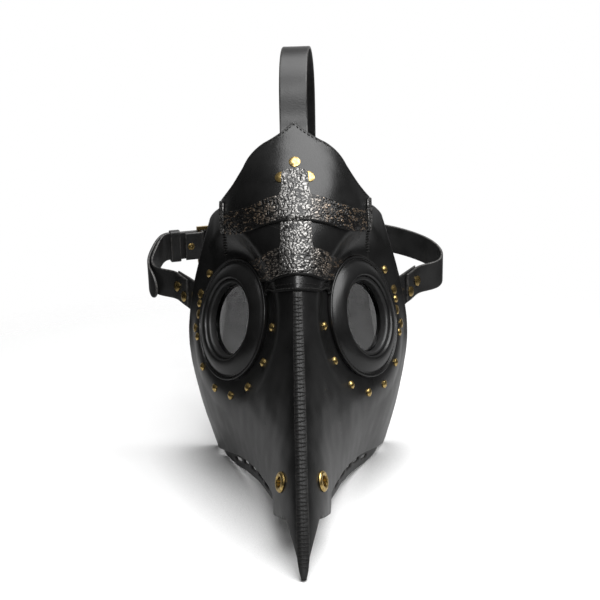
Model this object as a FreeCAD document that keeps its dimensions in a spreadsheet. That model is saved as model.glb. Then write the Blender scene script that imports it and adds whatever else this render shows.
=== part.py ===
"""Plague doctor mask: formed leather shells, goggle eyes, forehead panel and a buckled strap harness.

Frame: millimetres, X to the right of the mask as seen from the front, Y backwards, Z up. X = 0 is
the plane of symmetry and Z = 0 the table that the beak tip and cheeks rest on. The shapes are drawn
with Y = 0 at the eye centres, and are exported moved back by ROW_SHIFT, which puts the origin under
the middle of the whole object.
"""
import FreeCAD, Part
import Sketcher
import math
import os

V = FreeCAD.Vector

# ---------------------------------------------------------------- driving dimensions

DRIVING_SIZES = [
    ("shell_thickness", 2.2, "leather of the two formed side shells"),
    ("layer_gap", 0.05, "air between stacked leather layers"),
    ("panel_thickness", 1.0, "leather of each forehead panel"),
    ("crackle_thickness", 0.9, "crackled trim leather"),
    ("seam_strip_thickness", 1.3, "raised strip over the ridge seam"),
    ("seam_strip_brow_half_width", 3.1, "half width of the ridge strip at the brow"),
    ("seam_strip_beak_half_width", 3.9, "half width of the ridge strip on the beak"),
    ("panel_half_width", 56.8, "forehead panel, side edge from the centre plane"),
    ("panel_peak_height", 287.0, "top point of the forehead panel"),
    ("crackle_strip_half_width", 10.8, "vertical crackled strip"),
    ("ring_outer_radius", 48.8, "padded eye ring, outer edge"),
    ("ring_opening_radius", 32.0, "eye opening in the ring"),
    ("ring_seat_gap", 0.15, "air under the eye ring"),
    ("ring_edge_height", 3.4, "thickness of the ring's sewn edge"),
    ("ring_crown_height", 8.0, "top of the padding above the seat"),
    ("cup_outer_radius", 31.9, "tube inside the eye ring"),
    ("cup_inner_radius", 28.6, "bore of the lens tube"),
    ("cup_depth", 4.4, "lens tube behind the ring's seat"),
    ("lens_radius", 28.5, "smoked lens"),
    ("lens_thickness", 2.0, "smoked lens"),
    ("lens_face_height", -0.5, "front of the lens from the ring's seat"),
    ("retainer_width", 1.3, "snap ring behind the lens"),
    ("retainer_thickness", 1.2, "snap ring behind the lens"),
    ("stud_radius", 3.3, "domed studs round the eyes"),
    ("stud_height", 2.0, "domed studs round the eyes"),
    ("rivet_radius", 4.4, "double cap rivets"),
    ("rivet_height", 1.3, "double cap rivets"),
    ("eyelet_bore_radius", 4.0, "open hole of the nostril eyelet"),
    ("eyelet_flange_radius", 7.6, "nostril eyelet, outer edge"),
    ("strap_width", 25.0, "side straps"),
    ("strap_thickness", 2.2, "side and top straps"),
    ("top_strap_width", 22.0, "strap over the crown"),
    ("buckle_bar_radius", 1.5, "heel bar of the buckle"),
    ("buckle_length", 23.6, "heel bar to the outer edge of the frame"),
    ("buckle_half_height", 16.8, "half of the buckle's outer height"),
    ("buckle_wall", 3.2, "width of the frame's wall"),
    ("buckle_depth", 3.0, "thickness of the frame"),
    ("prong_thickness", 2.0, "tongue of the buckle"),
    ("prong_bore_clearance", 0.05, "running fit of the prong on the heel bar"),
    ("keeper_width", 9.0, "strap keeper along the strap"),
    ("keeper_wall", 1.6, "strap keeper leather"),
]


class Size:
    """A dimension that keeps its number together with the spreadsheet expression that gives it."""

    def __init__(self, value, text):
        self.value = float(value)
        self.text = text

    def __add__(self, other):
        other = as_size(other)
        return Size(self.value + other.value, "(%s + %s)" % (self.text, other.text))

    def __sub__(self, other):
        other = as_size(other)
        return Size(self.value - other.value, "(%s - %s)" % (self.text, other.text))

    def __mul__(self, factor):
        return Size(self.value * factor, "(%s * %s)" % (self.text, factor))

    def __neg__(self):
        return Size(-self.value, "(-1 * %s)" % self.text)


def as_size(number):
    return number if isinstance(number, Size) else Size(number, "%s" % number)


doc = FreeCAD.newDocument("plague_doctor_mask")
dims = doc.addObject("Spreadsheet::Sheet", "dims")
SIZE = {}
for row, (alias, value, meaning) in enumerate(DRIVING_SIZES, start=1):
    dims.set("A%d" % row, meaning)
    dims.set("B%d" % row, str(value))
    dims.setAlias("B%d" % row, alias)
    SIZE[alias] = Size(value, "dims." + alias)
doc.recompute()


def mm(alias):
    """The number in a spreadsheet cell."""
    return float(dims.get(alias))


# ---------------------------------------------------------------- sketches and bodies

PLANES = {"XY": "XY_Plane", "XZ": "XZ_Plane", "YZ": "YZ_Plane"}
ORIGIN_POINT = (-1, 1)
HORIZONTAL_AXIS = -1
VERTICAL_AXIS = -2


def new_body(label, placement=None):
    body = doc.addObject("PartDesign::Body", label)
    body.Label = label
    if placement:
        body.Placement = placement
    return body


def origin_feature(body, role):
    return [item for item in body.Origin.OriginFeatures if item.Role == role][0]


def new_sketch(body, name, plane):
    sketch = body.newObject("Sketcher::SketchObject", name)
    sketch.AttachmentSupport = [(origin_feature(body, PLANES[plane]), "")]
    sketch.MapMode = "FlatFace"
    return sketch


def pin_coordinate(sketch, corner, kind, size):
    """Ties one coordinate of a sketch corner to its expression."""
    if size.value == 0.0:
        axis = VERTICAL_AXIS if kind == "DistanceX" else HORIZONTAL_AXIS
        sketch.addConstraint(Sketcher.Constraint("PointOnObject", corner, 1, axis))
        return
    index = sketch.addConstraint(
        Sketcher.Constraint(kind, ORIGIN_POINT[0], ORIGIN_POINT[1], corner, 1, size.value))
    sketch.setExpression("Constraints[%d]" % index, size.text)


def add_profile(sketch, corners):
    """Closed profile. A corner is (x, y), or (x, y, radius) when an arc leaves it to the next corner."""
    corners = [tuple(as_size(part) for part in corner) for corner in corners]
    count = len(corners)
    first = sketch.GeometryCount
    for index, corner in enumerate(corners):
        start = V(corner[0].value, corner[1].value, 0)
        following = corners[(index + 1) % count]
        end = V(following[0].value, following[1].value, 0)
        if len(corner) == 2:
            sketch.addGeometry(Part.LineSegment(start, end))
        else:
            sketch.addGeometry(Part.Arc(start, arc_middle(start, end, corner[2].value), end))
    for index, corner in enumerate(corners):
        here = first + index
        following = first + (index + 1) % count
        sketch.addConstraint(Sketcher.Constraint("Coincident", here, 2, following, 1))
    for index, corner in enumerate(corners):
        pin_coordinate(sketch, first + index, "DistanceX", corner[0])
        pin_coordinate(sketch, first + index, "DistanceY", corner[1])
        if len(corner) == 3:
            radius = sketch.addConstraint(
                Sketcher.Constraint("Radius", first + index, abs(corner[2].value)))
            sketch.setExpression("Constraints[%d]" % radius, corner[2].text)


def arc_middle(start, end, radius):
    """Middle of the arc from start to end that bulges to the right of the direction of travel."""
    chord = end - start
    half = chord.Length / 2.0
    rise = radius - math.sqrt(max(radius * radius - half * half, 0.0))
    right = V(chord.y, -chord.x, 0).normalize()
    return (start + end) * 0.5 + right * rise


def revolve(label, corners, placement):
    """A turned piece: the profile lies in the local XZ plane and turns round the local Z axis."""
    body = new_body(label, placement)
    sketch = new_sketch(body, label + "_profile", "XZ")
    add_profile(sketch, corners)
    turned = body.newObject("PartDesign::Revolution", label + "_turned")
    turned.Profile = sketch
    turned.ReferenceAxis = (sketch, ["V_Axis"])
    turned.Angle = 360.0
    return body


def pad(body, name, sketch, length, midplane=True):
    feature = body.newObject("PartDesign::Pad", name)
    feature.Profile = sketch
    feature.Midplane = midplane
    feature.setExpression("Length", as_size(length).text)
    return feature


def mirrored(label, source):
    """The same piece on the other side of the plane of symmetry."""
    twin = doc.addObject("Part::Mirroring", label)
    twin.Source = source
    twin.Normal = V(1, 0, 0)
    twin.Base = V(0, 0, 0)
    twin.Label = label
    return twin


def feature(label, shape):
    """A formed or riveted piece whose shape is worked out in code."""
    item = doc.addObject("Part::Feature", label)
    item.Label = label
    item.Shape = shape
    item.Placement = FreeCAD.Placement()
    return item


# ---------------------------------------------------------------- the form the leather is moulded on

# Horizontal sections of one half of the form, from the ridge to the rim and on to where the
# strap tabs leave it: (height, [(x, y), ...]) as control points of a cubic surface.
FORM_SECTIONS = [
    (-10, [(0, -183), (4, -179), (11, -162), (18, -120), (38, -20), (64, 30), (72, 64), (76, 106)]),
    (28, [(0, -168), (7, -163), (17.5, -145), (22, -108), (44, -22), (76, 28), (83, 62), (90, 104)]),
    (60, [(0, -150), (7, -143), (16, -121), (26, -85), (57, -20), (85, 26), (89, 62), (98, 102)]),
    (95, [(0, -127), (7, -117), (17, -93), (33, -58), (62, -8), (86, 32), (92, 62), (114, 102)]),
    (134, [(0, -96), (7, -86), (17, -64), (32, -33), (51.4, 0), (76, 38), (90, 64), (120, 100)]),
    (170, [(0, -71), (8, -63), (19, -45), (32, -20), (46, 4), (65, 37), (81, 62), (112, 100)]),
    (200, [(0, -56), (11, -52), (25, -38), (38, -20), (51, 4), (64, 32), (73, 60), (92, 102)]),
    (230, [(0, -38), (13, -35), (28, -24), (42, -8), (54, 14), (62, 38), (67, 62), (76, 104)]),
    (262, [(0, -10), (14, -8), (28, 0), (40, 14), (48, 32), (54, 50), (58, 66), (62, 104)]),
    (296, [(0, 26), (10, 28), (20, 34), (30, 42), (38, 52), (44, 62), (48, 74), (50, 104)]),
]
DEGREE = 3


def clamped_knots(poles):
    inner = poles - DEGREE
    knots = [index / float(inner) for index in range(inner + 1)]
    repeats = [DEGREE + 1] + [1] * (inner - 1) + [DEGREE + 1]
    return knots, repeats


def build_form():
    poles = []
    for height, half in FORM_SECTIONS:
        left = [V(-x, y, height) for x, y in reversed(half[1:])]
        right = [V(x, y, height) for x, y in half]
        poles.append(left + right)
    up_knots, up_repeats = clamped_knots(len(poles))
    round_knots, round_repeats = clamped_knots(len(poles[0]))
    form = Part.BSplineSurface()
    form.buildFromPolesMultsKnots(
        poles, up_repeats, round_repeats, up_knots, round_knots, False, False, DEGREE, DEGREE)
    return form


FORM = build_form()

EYE_CENTRE = V(51.4, 0, 134)
EYE_TURN = math.radians(57)
EYE_TILT = math.radians(15.5)
EYE_AXIS = V(math.sin(EYE_TURN) * math.cos(EYE_TILT),
             -math.cos(EYE_TURN) * math.cos(EYE_TILT),
             math.sin(EYE_TILT))
EYE_SIDEWAYS = V(math.cos(EYE_TURN), math.sin(EYE_TURN), 0)
EYE_UPWARDS = EYE_AXIS.cross(EYE_SIDEWAYS)
FLAT_RADIUS = 50.0
BLEND_RADIUS = 76.0
FLAT_REACH = 30.0


def press_eye_seat(point):
    """Flattens the form under the eye ring and blends back to the form outside it."""
    side = 1.0 if point.x >= 0 else -1.0
    centre = V(EYE_CENTRE.x * side, EYE_CENTRE.y, EYE_CENTRE.z)
    axis = V(EYE_AXIS.x * side, EYE_AXIS.y, EYE_AXIS.z)
    arm = point - centre
    height = arm.dot(axis)
    if abs(height) > FLAT_REACH:
        return point
    radius = (arm - axis * height).Length
    share = min(max((BLEND_RADIUS - radius) / (BLEND_RADIUS - FLAT_RADIUS), 0.0), 1.0)
    share = share * share * (3.0 - 2.0 * share)
    return point - axis * (height * share)


def form_point(up, around):
    return press_eye_seat(FORM.value(up, around))


def sheet_point(surface, up, around, offset):
    """A point of a surface function moved along its outward normal."""
    step = 1e-3
    here = surface(up, around)
    along_up = surface(min(up + step, 1.0), around) - surface(max(up - step, 0.0), around)
    along_round = surface(up, min(around + step, 1.0)) - surface(up, max(around - step, 0.0))
    normal = along_round.cross(along_up).normalize()
    return here + normal * offset


def averaged_knots(poles):
    """Surface parameters at which each control point has the most say."""
    knots, repeats = clamped_knots(poles)
    spread = [knot for knot, repeat in zip(knots, repeats) for _ in range(repeat)]
    return [sum(spread[index + 1:index + DEGREE + 1]) / DEGREE for index in range(poles)]


FIT_PASSES = 4


def fitted_surface(point_at, up_count, round_count):
    """Cubic surface through point_at(up, around), both parameters running from 0 to 1."""
    ups = averaged_knots(up_count)
    rounds = averaged_knots(round_count)
    targets = [[point_at(up, around) for around in rounds] for up in ups]
    poles = [list(line) for line in targets]
    up_knots, up_repeats = clamped_knots(up_count)
    round_knots, round_repeats = clamped_knots(round_count)
    for _ in range(FIT_PASSES):
        surface = Part.BSplineSurface()
        surface.buildFromPolesMultsKnots(
            poles, up_repeats, round_repeats, up_knots, round_knots, False, False, DEGREE, DEGREE)
        for i, up in enumerate(ups):
            for k, around in enumerate(rounds):
                poles[i][k] = poles[i][k] + (targets[i][k] - surface.value(up, around))
    return surface


def solid_between(skins):
    """Closed solid between two surfaces that share their parameters."""
    faces = [skin.toShape() for skin in skins]
    for side in ("first_up", "last_up", "first_round", "last_round"):
        faces.append(wall_between(border(skins[0], side), border(skins[1], side)))
    shell = Part.Shell(faces)
    shell.sewShape()
    solid = Part.Solid(shell)
    if solid.Volume < 0:
        solid.reverse()
    return solid


def sheet_solid(surface, inner, outer, up_count, round_count):
    """Closed leather sheet between two offsets of a surface function."""
    skins = []
    for offset in (inner, outer):
        skins.append(fitted_surface(
            lambda up, around: sheet_point(surface, up, around, offset), up_count, round_count))
    return solid_between(skins)


FORM_UPS = 34
FORM_ROUNDS = 51
skin_cache = {}


def skin(offset):
    """The moulded form moved outwards by an offset, as one surface for both halves."""
    key = round(offset, 4)
    if key not in skin_cache:
        skin_cache[key] = fitted_surface(
            lambda up, around: sheet_point(form_point, up, around, offset), FORM_UPS, FORM_ROUNDS)
    return skin_cache[key]


def layer(inner, outer, up_range, round_range):
    """Leather layer between two offsets of the form, over a stretch of its parameters."""
    skins = []
    for offset in (inner, outer):
        part = skin(offset).copy()
        part.segment(up_range[0], up_range[1], round_range[0], round_range[1])
        skins.append(part)
    return solid_between(skins)


def wall_between(low, high):
    """Straight-ruled wall between two border curves with the same knots."""
    wall = Part.BSplineSurface()
    wall.buildFromPolesMultsKnots(
        [low.getPoles(), high.getPoles()], [2, 2], low.getMultiplicities(), [0.0, 1.0], low.getKnots(),
        False, False, 1, low.Degree)
    return wall.toShape()


def border(skin, which):
    low_up, high_up, low_round, high_round = skin.bounds()
    if which == "first_up":
        return skin.uIso(low_up)
    if which == "last_up":
        return skin.uIso(high_up)
    if which == "first_round":
        return skin.vIso(low_round)
    return skin.vIso(high_round)


def up_at(height):
    low, high = 0.0, 1.0
    for _ in range(40):
        middle = (low + high) / 2.0
        if FORM.value(middle, 0.5).z < height:
            low = middle
        else:
            high = middle
    return low


def around_at(height, amount, axis="x"):
    """Parameter on the right half where the form reaches an x (or a y) at a height."""
    up = up_at(height)
    low, high = 0.5, 1.0
    for _ in range(40):
        middle = (low + high) / 2.0
        point = form_point(up, middle)
        if getattr(point, axis) < amount:
            low = middle
        else:
            high = middle
    return low


def seat_on_form(height, amount, axis="x", offset=0.0):
    """Placement whose Z axis is the form's outward normal at a point of the right half."""
    up = up_at(height)
    around = around_at(height, amount, axis)
    point = sheet_point(form_point, up, around, offset)
    normal = (sheet_point(form_point, up, around, 1.0) - form_point(up, around)).normalize()
    rotation = FreeCAD.Rotation(V(0, 0, 1), normal)
    return FreeCAD.Placement(point, rotation)


# ---------------------------------------------------------------- outlines that trim the leather

def outline_face(corners, plane):
    """Planar face. A corner is (a, b), or (a, b, mid_a, mid_b) for an arc that leaves it."""
    def place(a, b):
        return V(a, 0, b) if plane == "front" else V(0, a, b)
    edges = []
    for index, corner in enumerate(corners):
        following = corners[(index + 1) % len(corners)]
        start = place(corner[0], corner[1])
        end = place(following[0], following[1])
        if len(corner) == 2:
            edges.append(Part.makeLine(start, end))
        else:
            edges.append(Part.Arc(start, place(corner[2], corner[3]), end).toShape())
    return Part.Face(Part.Wire(edges))


REACH = 260.0


def front_prism(corners):
    face = outline_face(corners, "front")
    face.translate(V(0, -REACH, 0))
    return face.extrude(V(0, 2 * REACH, 0))


def side_prism(corners):
    face = outline_face(corners, "side")
    return face.extrude(V(REACH, 0, 0))


# Lower edge of the shell from the rim to the flap at the corner of the beak, then the notch behind
# the hooked tip: (y, z).
RIM_FOOT = (60, 1)
LOWER_EDGE = [(20, 12), (-24, 25), (-60, 31), (-90, 33.5), (-112, 34)]
BEAK_NOTCH = [(-114, 18.5), (-148, 31.5)]
HOOK_END = (-175.5, 2.5)
HOOK_MIDDLE = (-162.5, 20.0)
RIM_MIDDLE = (65, 110)
RIM_TOP = (57, 214)
# Upper edge of the shell, from the rim to the centre plane: (x, z).
SHELL_TOP = [(76, 198), (67, 213), (58, 223.5), (40, 221), (0, 212)]
CENTRE_GAP = 0.1


def shell_side_outline():
    edge = [RIM_FOOT + (42, 5)] + LOWER_EDGE + BEAK_NOTCH[:1]
    notch = [BEAK_NOTCH[1] + HOOK_MIDDLE]
    front = [HOOK_END, (-REACH, HOOK_END[1]), (-REACH, 320), (RIM_TOP[0], 320)]
    return edge + notch + front + [RIM_TOP + RIM_MIDDLE]


def shell_front_outline(rise=0.0):
    top = [(x, z + rise) for x, z in SHELL_TOP[:-1]]
    top.append((CENTRE_GAP, SHELL_TOP[-1][1] + rise))
    return [(CENTRE_GAP, -30), (140, -30), (140, 184)] + top


def right_half_layer(inner, outer):
    return layer(inner, outer, (0.0, 1.0), (0.5, 1.0))


def full_layer(inner, outer, height_range, half_width):
    ups = (up_at(height_range[0]), up_at(height_range[1]))
    share = max(around_at(height, half_width) for height in height_range) - 0.5
    return layer(inner, outer, ups, (0.5 - share, 0.5 + share))


def eye_cylinder(radius, low, high):
    base = EYE_CENTRE + EYE_AXIS * low
    return Part.makeCylinder(radius, high - low, base, EYE_AXIS)


# ---------------------------------------------------------------- fastenings

RIM_SHARE = 0.3
OVERLAP = 0.2


def dome(radius, height):
    """Round cap standing on Z = 0: a short rim with a spherical top."""
    rim = height * RIM_SHARE
    rise = height - rim
    ball_radius = (radius * radius + rise * rise) / (2.0 * rise)
    ball = Part.makeSphere(ball_radius, V(0, 0, height - ball_radius))
    keep = Part.makeCylinder(radius, height + OVERLAP, V(0, 0, 0))
    return keep.common(ball)


def cap_rivet(radius, height, post_radius, grip, back_radius=None):
    """Double cap rivet: domed cap above Z = 0, post, and a flatter cap behind the leather."""
    back_radius = back_radius or radius * 0.9
    back = dome(back_radius, height * 0.6)
    back.rotate(V(0, 0, 0), V(1, 0, 0), 180)
    back.translate(V(0, 0, -grip))
    post = Part.makeCylinder(post_radius, grip + 2 * OVERLAP, V(0, 0, -grip - OVERLAP))
    return dome(radius, height).fuse([post, back]).removeSplitter()


def placed(shape, placement):
    copy = shape.copy()
    copy.Placement = placement
    return copy


STUD_COUNT = 9
STUD_FIRST_ANGLE = 27.0
STUD_STEP = -26.9
STUD_RING_SIDEWAYS = 56.5
STUD_RING_UPWARDS = 61.0
STUD_POST_RADIUS = 1.1
RIVET_POST_RADIUS = 1.6


def around_for_point(target, height):
    """Parameter on the right half whose point at a height is closest to a target."""
    up = up_at(height)
    best = min(range(201), key=lambda k: form_point(up, 0.5 + k / 400.0).distanceToPoint(target))
    return 0.5 + best / 400.0


def stud_seats():
    seats = []
    for index in range(STUD_COUNT):
        angle = math.radians(STUD_FIRST_ANGLE + STUD_STEP * index)
        target = (EYE_CENTRE + EYE_SIDEWAYS * (STUD_RING_SIDEWAYS * math.cos(angle))
                  + EYE_UPWARDS * (STUD_RING_UPWARDS * math.sin(angle)))
        around = around_for_point(target, target.z)
        up = up_at(target.z)
        normal = (sheet_point(form_point, up, around, 1.0) - form_point(up, around)).normalize()
        seats.append(FreeCAD.Placement(form_point(up, around) + normal * mm("layer_gap"),
                                       FreeCAD.Rotation(V(0, 0, 1), normal)))
    return seats


def build_studs():
    stud = cap_rivet(mm("stud_radius"), mm("stud_height"), STUD_POST_RADIUS,
                     mm("shell_thickness") + 0.4, mm("stud_radius") * 0.8)
    return Part.Compound([placed(stud, seat) for seat in stud_seats()])


# Rivets that hold the strap tab to the inside of the shell: (height, y).
TAB_RIVETS = [(141.8, 50.6), (125.5, 45), (112.5, 48)]


def build_tab_rivets():
    grip = mm("shell_thickness") + 0.2 + mm("strap_thickness") + 0.3
    rivet = cap_rivet(mm("rivet_radius") * 0.9, mm("rivet_height"), RIVET_POST_RADIUS, grip)
    seats = [seat_on_form(height, y, "y", mm("layer_gap")) for height, y in TAB_RIVETS]
    return Part.Compound([placed(rivet, seat) for seat in seats])


FOREHEAD_RIVETS = [(0.0, 259.5), (10.0, 249.5)]


def build_forehead_rivets():
    stack = level_height(2) + mm("panel_thickness")
    grip = stack + mm("shell_thickness") + 0.6
    rivet = cap_rivet(mm("rivet_radius"), mm("rivet_height"), RIVET_POST_RADIUS, grip, 3.6)
    shapes = []
    for x, height in FOREHEAD_RIVETS:
        seat = seat_on_form(height, max(x, 0.01), "x", stack + mm("layer_gap"))
        shapes.append(placed(rivet, seat))
        if x > 0:
            shapes.append(placed(rivet, seat).mirror(V(0, 0, 0), V(1, 0, 0)))
    return Part.Compound(shapes)


# ---------------------------------------------------------------- leather pieces of the face

NOSTRIL = (51.5, 15.1)


def nostril_seat():
    return seat_on_form(NOSTRIL[0], NOSTRIL[1], "x", 0.0)


def build_shell(cutters):
    shell = right_half_layer(-mm("shell_thickness"), 0.0)
    shell = shell.common(side_prism(shell_side_outline()))
    shell = shell.common(front_prism(shell_front_outline()))
    shell = shell.cut(eye_cylinder(mm("cup_outer_radius") + 1.5, -30, 30))
    for cutter in cutters:
        shell = shell.cut(cutter)
    return largest(shell)


def largest(shape):
    return max(shape.Solids, key=lambda solid: solid.Volume)


def build_seam_strip():
    brow = mm("seam_strip_brow_half_width")
    beak = mm("seam_strip_beak_half_width")
    outline = [(1.4, 0.6), (beak * 0.7, 6), (beak * 0.96, 13), (beak, 40), (brow, 160), (brow, 174.7)]
    outline = outline + [(-x, z) for x, z in reversed(outline)]
    sheet = full_layer(mm("layer_gap"), mm("layer_gap") + mm("seam_strip_thickness"), (-6, 180), 7.0)
    return largest(sheet.common(front_prism(outline)))


PANEL_SHOULDER_HEIGHT = 226.0
PANEL_OGEE = (38.0, 254.0)
PANEL_UPPER = (22.0, 272.0)
PANEL_BROW_MIDDLE = 175.6
PANEL_BROW_END = (26.0, 158.0)
PANEL_FOOT = 160.0


def panel_outline(grow=0.0):
    half = mm("panel_half_width") + grow
    peak = mm("panel_peak_height") + grow
    right = [
        (half, PANEL_FOOT),
        (half, PANEL_SHOULDER_HEIGHT, 46.5, 240.5 + grow),
        (PANEL_OGEE[0], PANEL_OGEE[1] + grow, 31.0, 264.5 + grow),
        (PANEL_UPPER[0], PANEL_UPPER[1] + grow, 10.0, 279.3 + grow),
    ]
    left = [
        (0.0, peak, -10.0, 279.3 + grow),
        (-PANEL_UPPER[0], PANEL_UPPER[1] + grow, -31.0, 264.5 + grow),
        (-PANEL_OGEE[0], PANEL_OGEE[1] + grow, -46.5, 240.5 + grow),
        (-half, PANEL_SHOULDER_HEIGHT),
        (-half, PANEL_FOOT),
        (-PANEL_BROW_END[0], PANEL_BROW_END[1], 0.0, PANEL_BROW_MIDDLE),
        (PANEL_BROW_END[0], PANEL_BROW_END[1]),
    ]
    return right + left


def clear_of_rings(shape):
    ring = eye_cylinder(mm("ring_outer_radius") + 0.3, -6, 30)
    return shape.cut(ring).cut(ring.mirror(V(0, 0, 0), V(1, 0, 0)))


PANEL_REACH = 61.0
BROW_FLAP_TOP = 200.0
LOWER_PANEL_TOP = 231.0
SIDE_DROP = 18.0


def level_height(level):
    """Underside of a leather layer: level 0 lies on the shells, level 1 on top of it, and so on."""
    return mm("layer_gap") + level * (mm("panel_thickness") + mm("layer_gap"))


def panel_sheet(level, outline, height_range):
    low = level_height(level)
    sheet = full_layer(low, low + mm("panel_thickness"), height_range, PANEL_REACH)
    return clear_of_rings(sheet.common(front_prism(outline)))


def build_brow_flap():
    """Lowest layer: its stitched edge arches over the bridge."""
    half = mm("panel_half_width") - 0.6
    outline = [(half, BROW_FLAP_TOP - SIDE_DROP), (0, BROW_FLAP_TOP), (-half, BROW_FLAP_TOP - SIDE_DROP),
               (-half, PANEL_FOOT), (-PANEL_BROW_END[0], PANEL_BROW_END[1], 0.0, PANEL_BROW_MIDDLE),
               (PANEL_BROW_END[0], PANEL_BROW_END[1]), (half, PANEL_FOOT)]
    return largest(panel_sheet(0, outline, (148, 206)))


def build_lower_panel():
    """Middle layer, down to the lower crackled band."""
    half = mm("panel_half_width")
    outline = [(half, PANEL_FOOT), (half, LOWER_PANEL_TOP - SIDE_DROP + 2), (0, LOWER_PANEL_TOP),
               (-half, LOWER_PANEL_TOP - SIDE_DROP + 2), (-half, PANEL_FOOT),
               (-LOWER_BAND_FOOT[0], LOWER_BAND_FOOT[1], 0, LOWER_BAND_MIDDLE),
               (LOWER_BAND_FOOT[0], LOWER_BAND_FOOT[1])]
    return largest(panel_sheet(1, outline, (148, 236)))


def build_upper_panel(rivets):
    """Top layer: the ogee point above, and its lower edge under the upper crackled band."""
    top = panel_outline()[1:-3]
    outline = top + upper_band_low_edge(mm("panel_half_width"))
    return largest(panel_sheet(2, outline, (190, 292)).cut(rivets))


def lining_step_outline():
    """Where the lower forehead layers lie over the lining, with a little air."""
    half = mm("panel_half_width") + 1.5
    shoulder = LOWER_PANEL_TOP - SIDE_DROP + 2.5
    return [(half, shoulder), (0, LOWER_PANEL_TOP + 0.5), (-half, shoulder),
            (-half, PANEL_FOOT - 6), (half, PANEL_FOOT - 6)]


def build_lining(rivets):
    top = level_height(2) - mm("layer_gap")
    sheet = full_layer(-mm("shell_thickness"), top, (205, 292), PANEL_REACH)
    shape = sheet.common(front_prism(panel_outline(0.6)))
    skirt = full_layer(-0.02, level_height(2), (150, 240), PANEL_REACH)
    skirt = skirt.common(front_prism(lining_step_outline()))
    shape = shape.cut(skirt)
    right = front_prism(shell_front_outline(0.4))
    left = right.mirror(V(0, 0, 0), V(1, 0, 0))
    middle = Part.makeBox(4, 2 * REACH, SHELL_TOP[-1][1] + 0.4, V(-2, -REACH, 0))
    return largest(shape.cut(right).cut(left).cut(middle).cut(rivets))


# Crackled bands: heights at the panel's side, (x, z) of the knees and corners, heights in the middle.
UPPER_BAND_LOW_END = 201.5
UPPER_BAND_LOW_KNEE = (32.0, 212.8)
UPPER_BAND_LOW_MIDDLE = 222.5
UPPER_BAND_HIGH_END = 218.3
UPPER_BAND_HIGH_KNEE = (32.0, 229.6)
UPPER_BAND_HIGH_MIDDLE = 239.0
LOWER_BAND_FOOT = (22.0, 172.2)
LOWER_BAND_MIDDLE = 186.6
LOWER_BAND_HEAD = (31.5, 184.3)
LOWER_BAND_TOP = 205.0
LOWER_BAND_REACH = 50.0
STRIP_FOOT = 187.6
STRIP_HEAD = 255.5


def crackle_sheet(level, outline, height_range, reach):
    low = level_height(level)
    sheet = full_layer(low, low + mm("crackle_thickness"), height_range, reach)
    return sheet.common(front_prism(outline))


def upper_band_low_edge(half):
    """Lower edge of the upper band and of the panel under it, from left to right."""
    x, z = UPPER_BAND_LOW_KNEE
    return [(-half, UPPER_BAND_LOW_END), (-x, z, 0, UPPER_BAND_LOW_MIDDLE), (x, z), (half, UPPER_BAND_LOW_END)]


def build_band_upper():
    half = mm("panel_half_width") - 0.1
    x, z = UPPER_BAND_HIGH_KNEE
    outline = [(half, UPPER_BAND_HIGH_END), (x, z, 0, UPPER_BAND_HIGH_MIDDLE), (-x, z),
               (-half, UPPER_BAND_HIGH_END)] + upper_band_low_edge(half)
    return largest(crackle_sheet(3, outline, (185, 246), PANEL_REACH))


def build_band_lower():
    foot_x, foot_z = LOWER_BAND_FOOT
    head_x, head_z = LOWER_BAND_HEAD
    reach = LOWER_BAND_REACH
    outline = [(foot_x, foot_z), (reach, foot_z - 18), (reach, head_z - 16),
               (head_x, head_z, 0, LOWER_BAND_TOP), (-head_x, head_z), (-reach, head_z - 16),
               (-reach, foot_z - 18), (-foot_x, foot_z, 0, LOWER_BAND_MIDDLE)]
    return largest(clear_of_rings(crackle_sheet(2, outline, (148, 212), 56.0)))


def build_crackle_strip(rivets):
    half = mm("crackle_strip_half_width")
    outline = [(half, STRIP_FOOT), (half, STRIP_HEAD), (-half, STRIP_HEAD), (-half, STRIP_FOOT)]
    return largest(crackle_sheet(4, outline, (180, 262), 16.0).cut(rivets))


# Chin panel, a second layer inside the cheek that shows below its lower edge: (y, z).
CHIN_LOWER_EDGE = [(36, 0.6), (10, 2), (-26, 10), (-64, 18), (-104, 23)]
CHIN_UPPER_EDGE = [(-116, 38), (-100, 48), (-40, 44), (20, 30), (44, 16)]
SLOT_COUNT = 5
SLOT_FIRST = -2.0
SLOT_PITCH = 20.0
SLOT_LENGTH = 15.0
SLOT_HALF_HEIGHT = 1.9
SLOT_DROP = 6.0


def build_chin_panel():
    """Second layer that shows below the cheek's lower edge, with a row of long vent slots."""
    low = -2 * mm("shell_thickness") - 0.3
    sheet = right_half_layer(low, low + mm("shell_thickness"))
    outline = CHIN_LOWER_EDGE + CHIN_UPPER_EDGE
    panel = sheet.common(side_prism(outline))
    for index in range(SLOT_COUNT):
        middle = SLOT_FIRST - SLOT_PITCH * index
        ends = [middle - SLOT_LENGTH / 2, middle + SLOT_LENGTH / 2]
        slope = (chin_slot_height(ends[1]) - chin_slot_height(ends[0])) / SLOT_LENGTH
        slot = [(ends[0], chin_slot_height(ends[0]) - SLOT_HALF_HEIGHT),
                (ends[1], chin_slot_height(ends[1]) - SLOT_HALF_HEIGHT),
                (ends[1], chin_slot_height(ends[1]) + SLOT_HALF_HEIGHT),
                (ends[0], chin_slot_height(ends[0]) + SLOT_HALF_HEIGHT)]
        panel = panel.cut(side_prism(slot))
    return largest(panel)


def chin_slot_height(y):
    """Slots follow the lower edge of the cheek a few millimetres below it."""
    points = [RIM_FOOT] + LOWER_EDGE
    for (y1, z1), (y2, z2) in zip(points, points[1:]):
        if y2 <= y <= y1:
            return z1 + (z2 - z1) * (y - y1) / (y2 - y1) - SLOT_DROP
    return 20.0


# ---------------------------------------------------------------- straps

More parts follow.
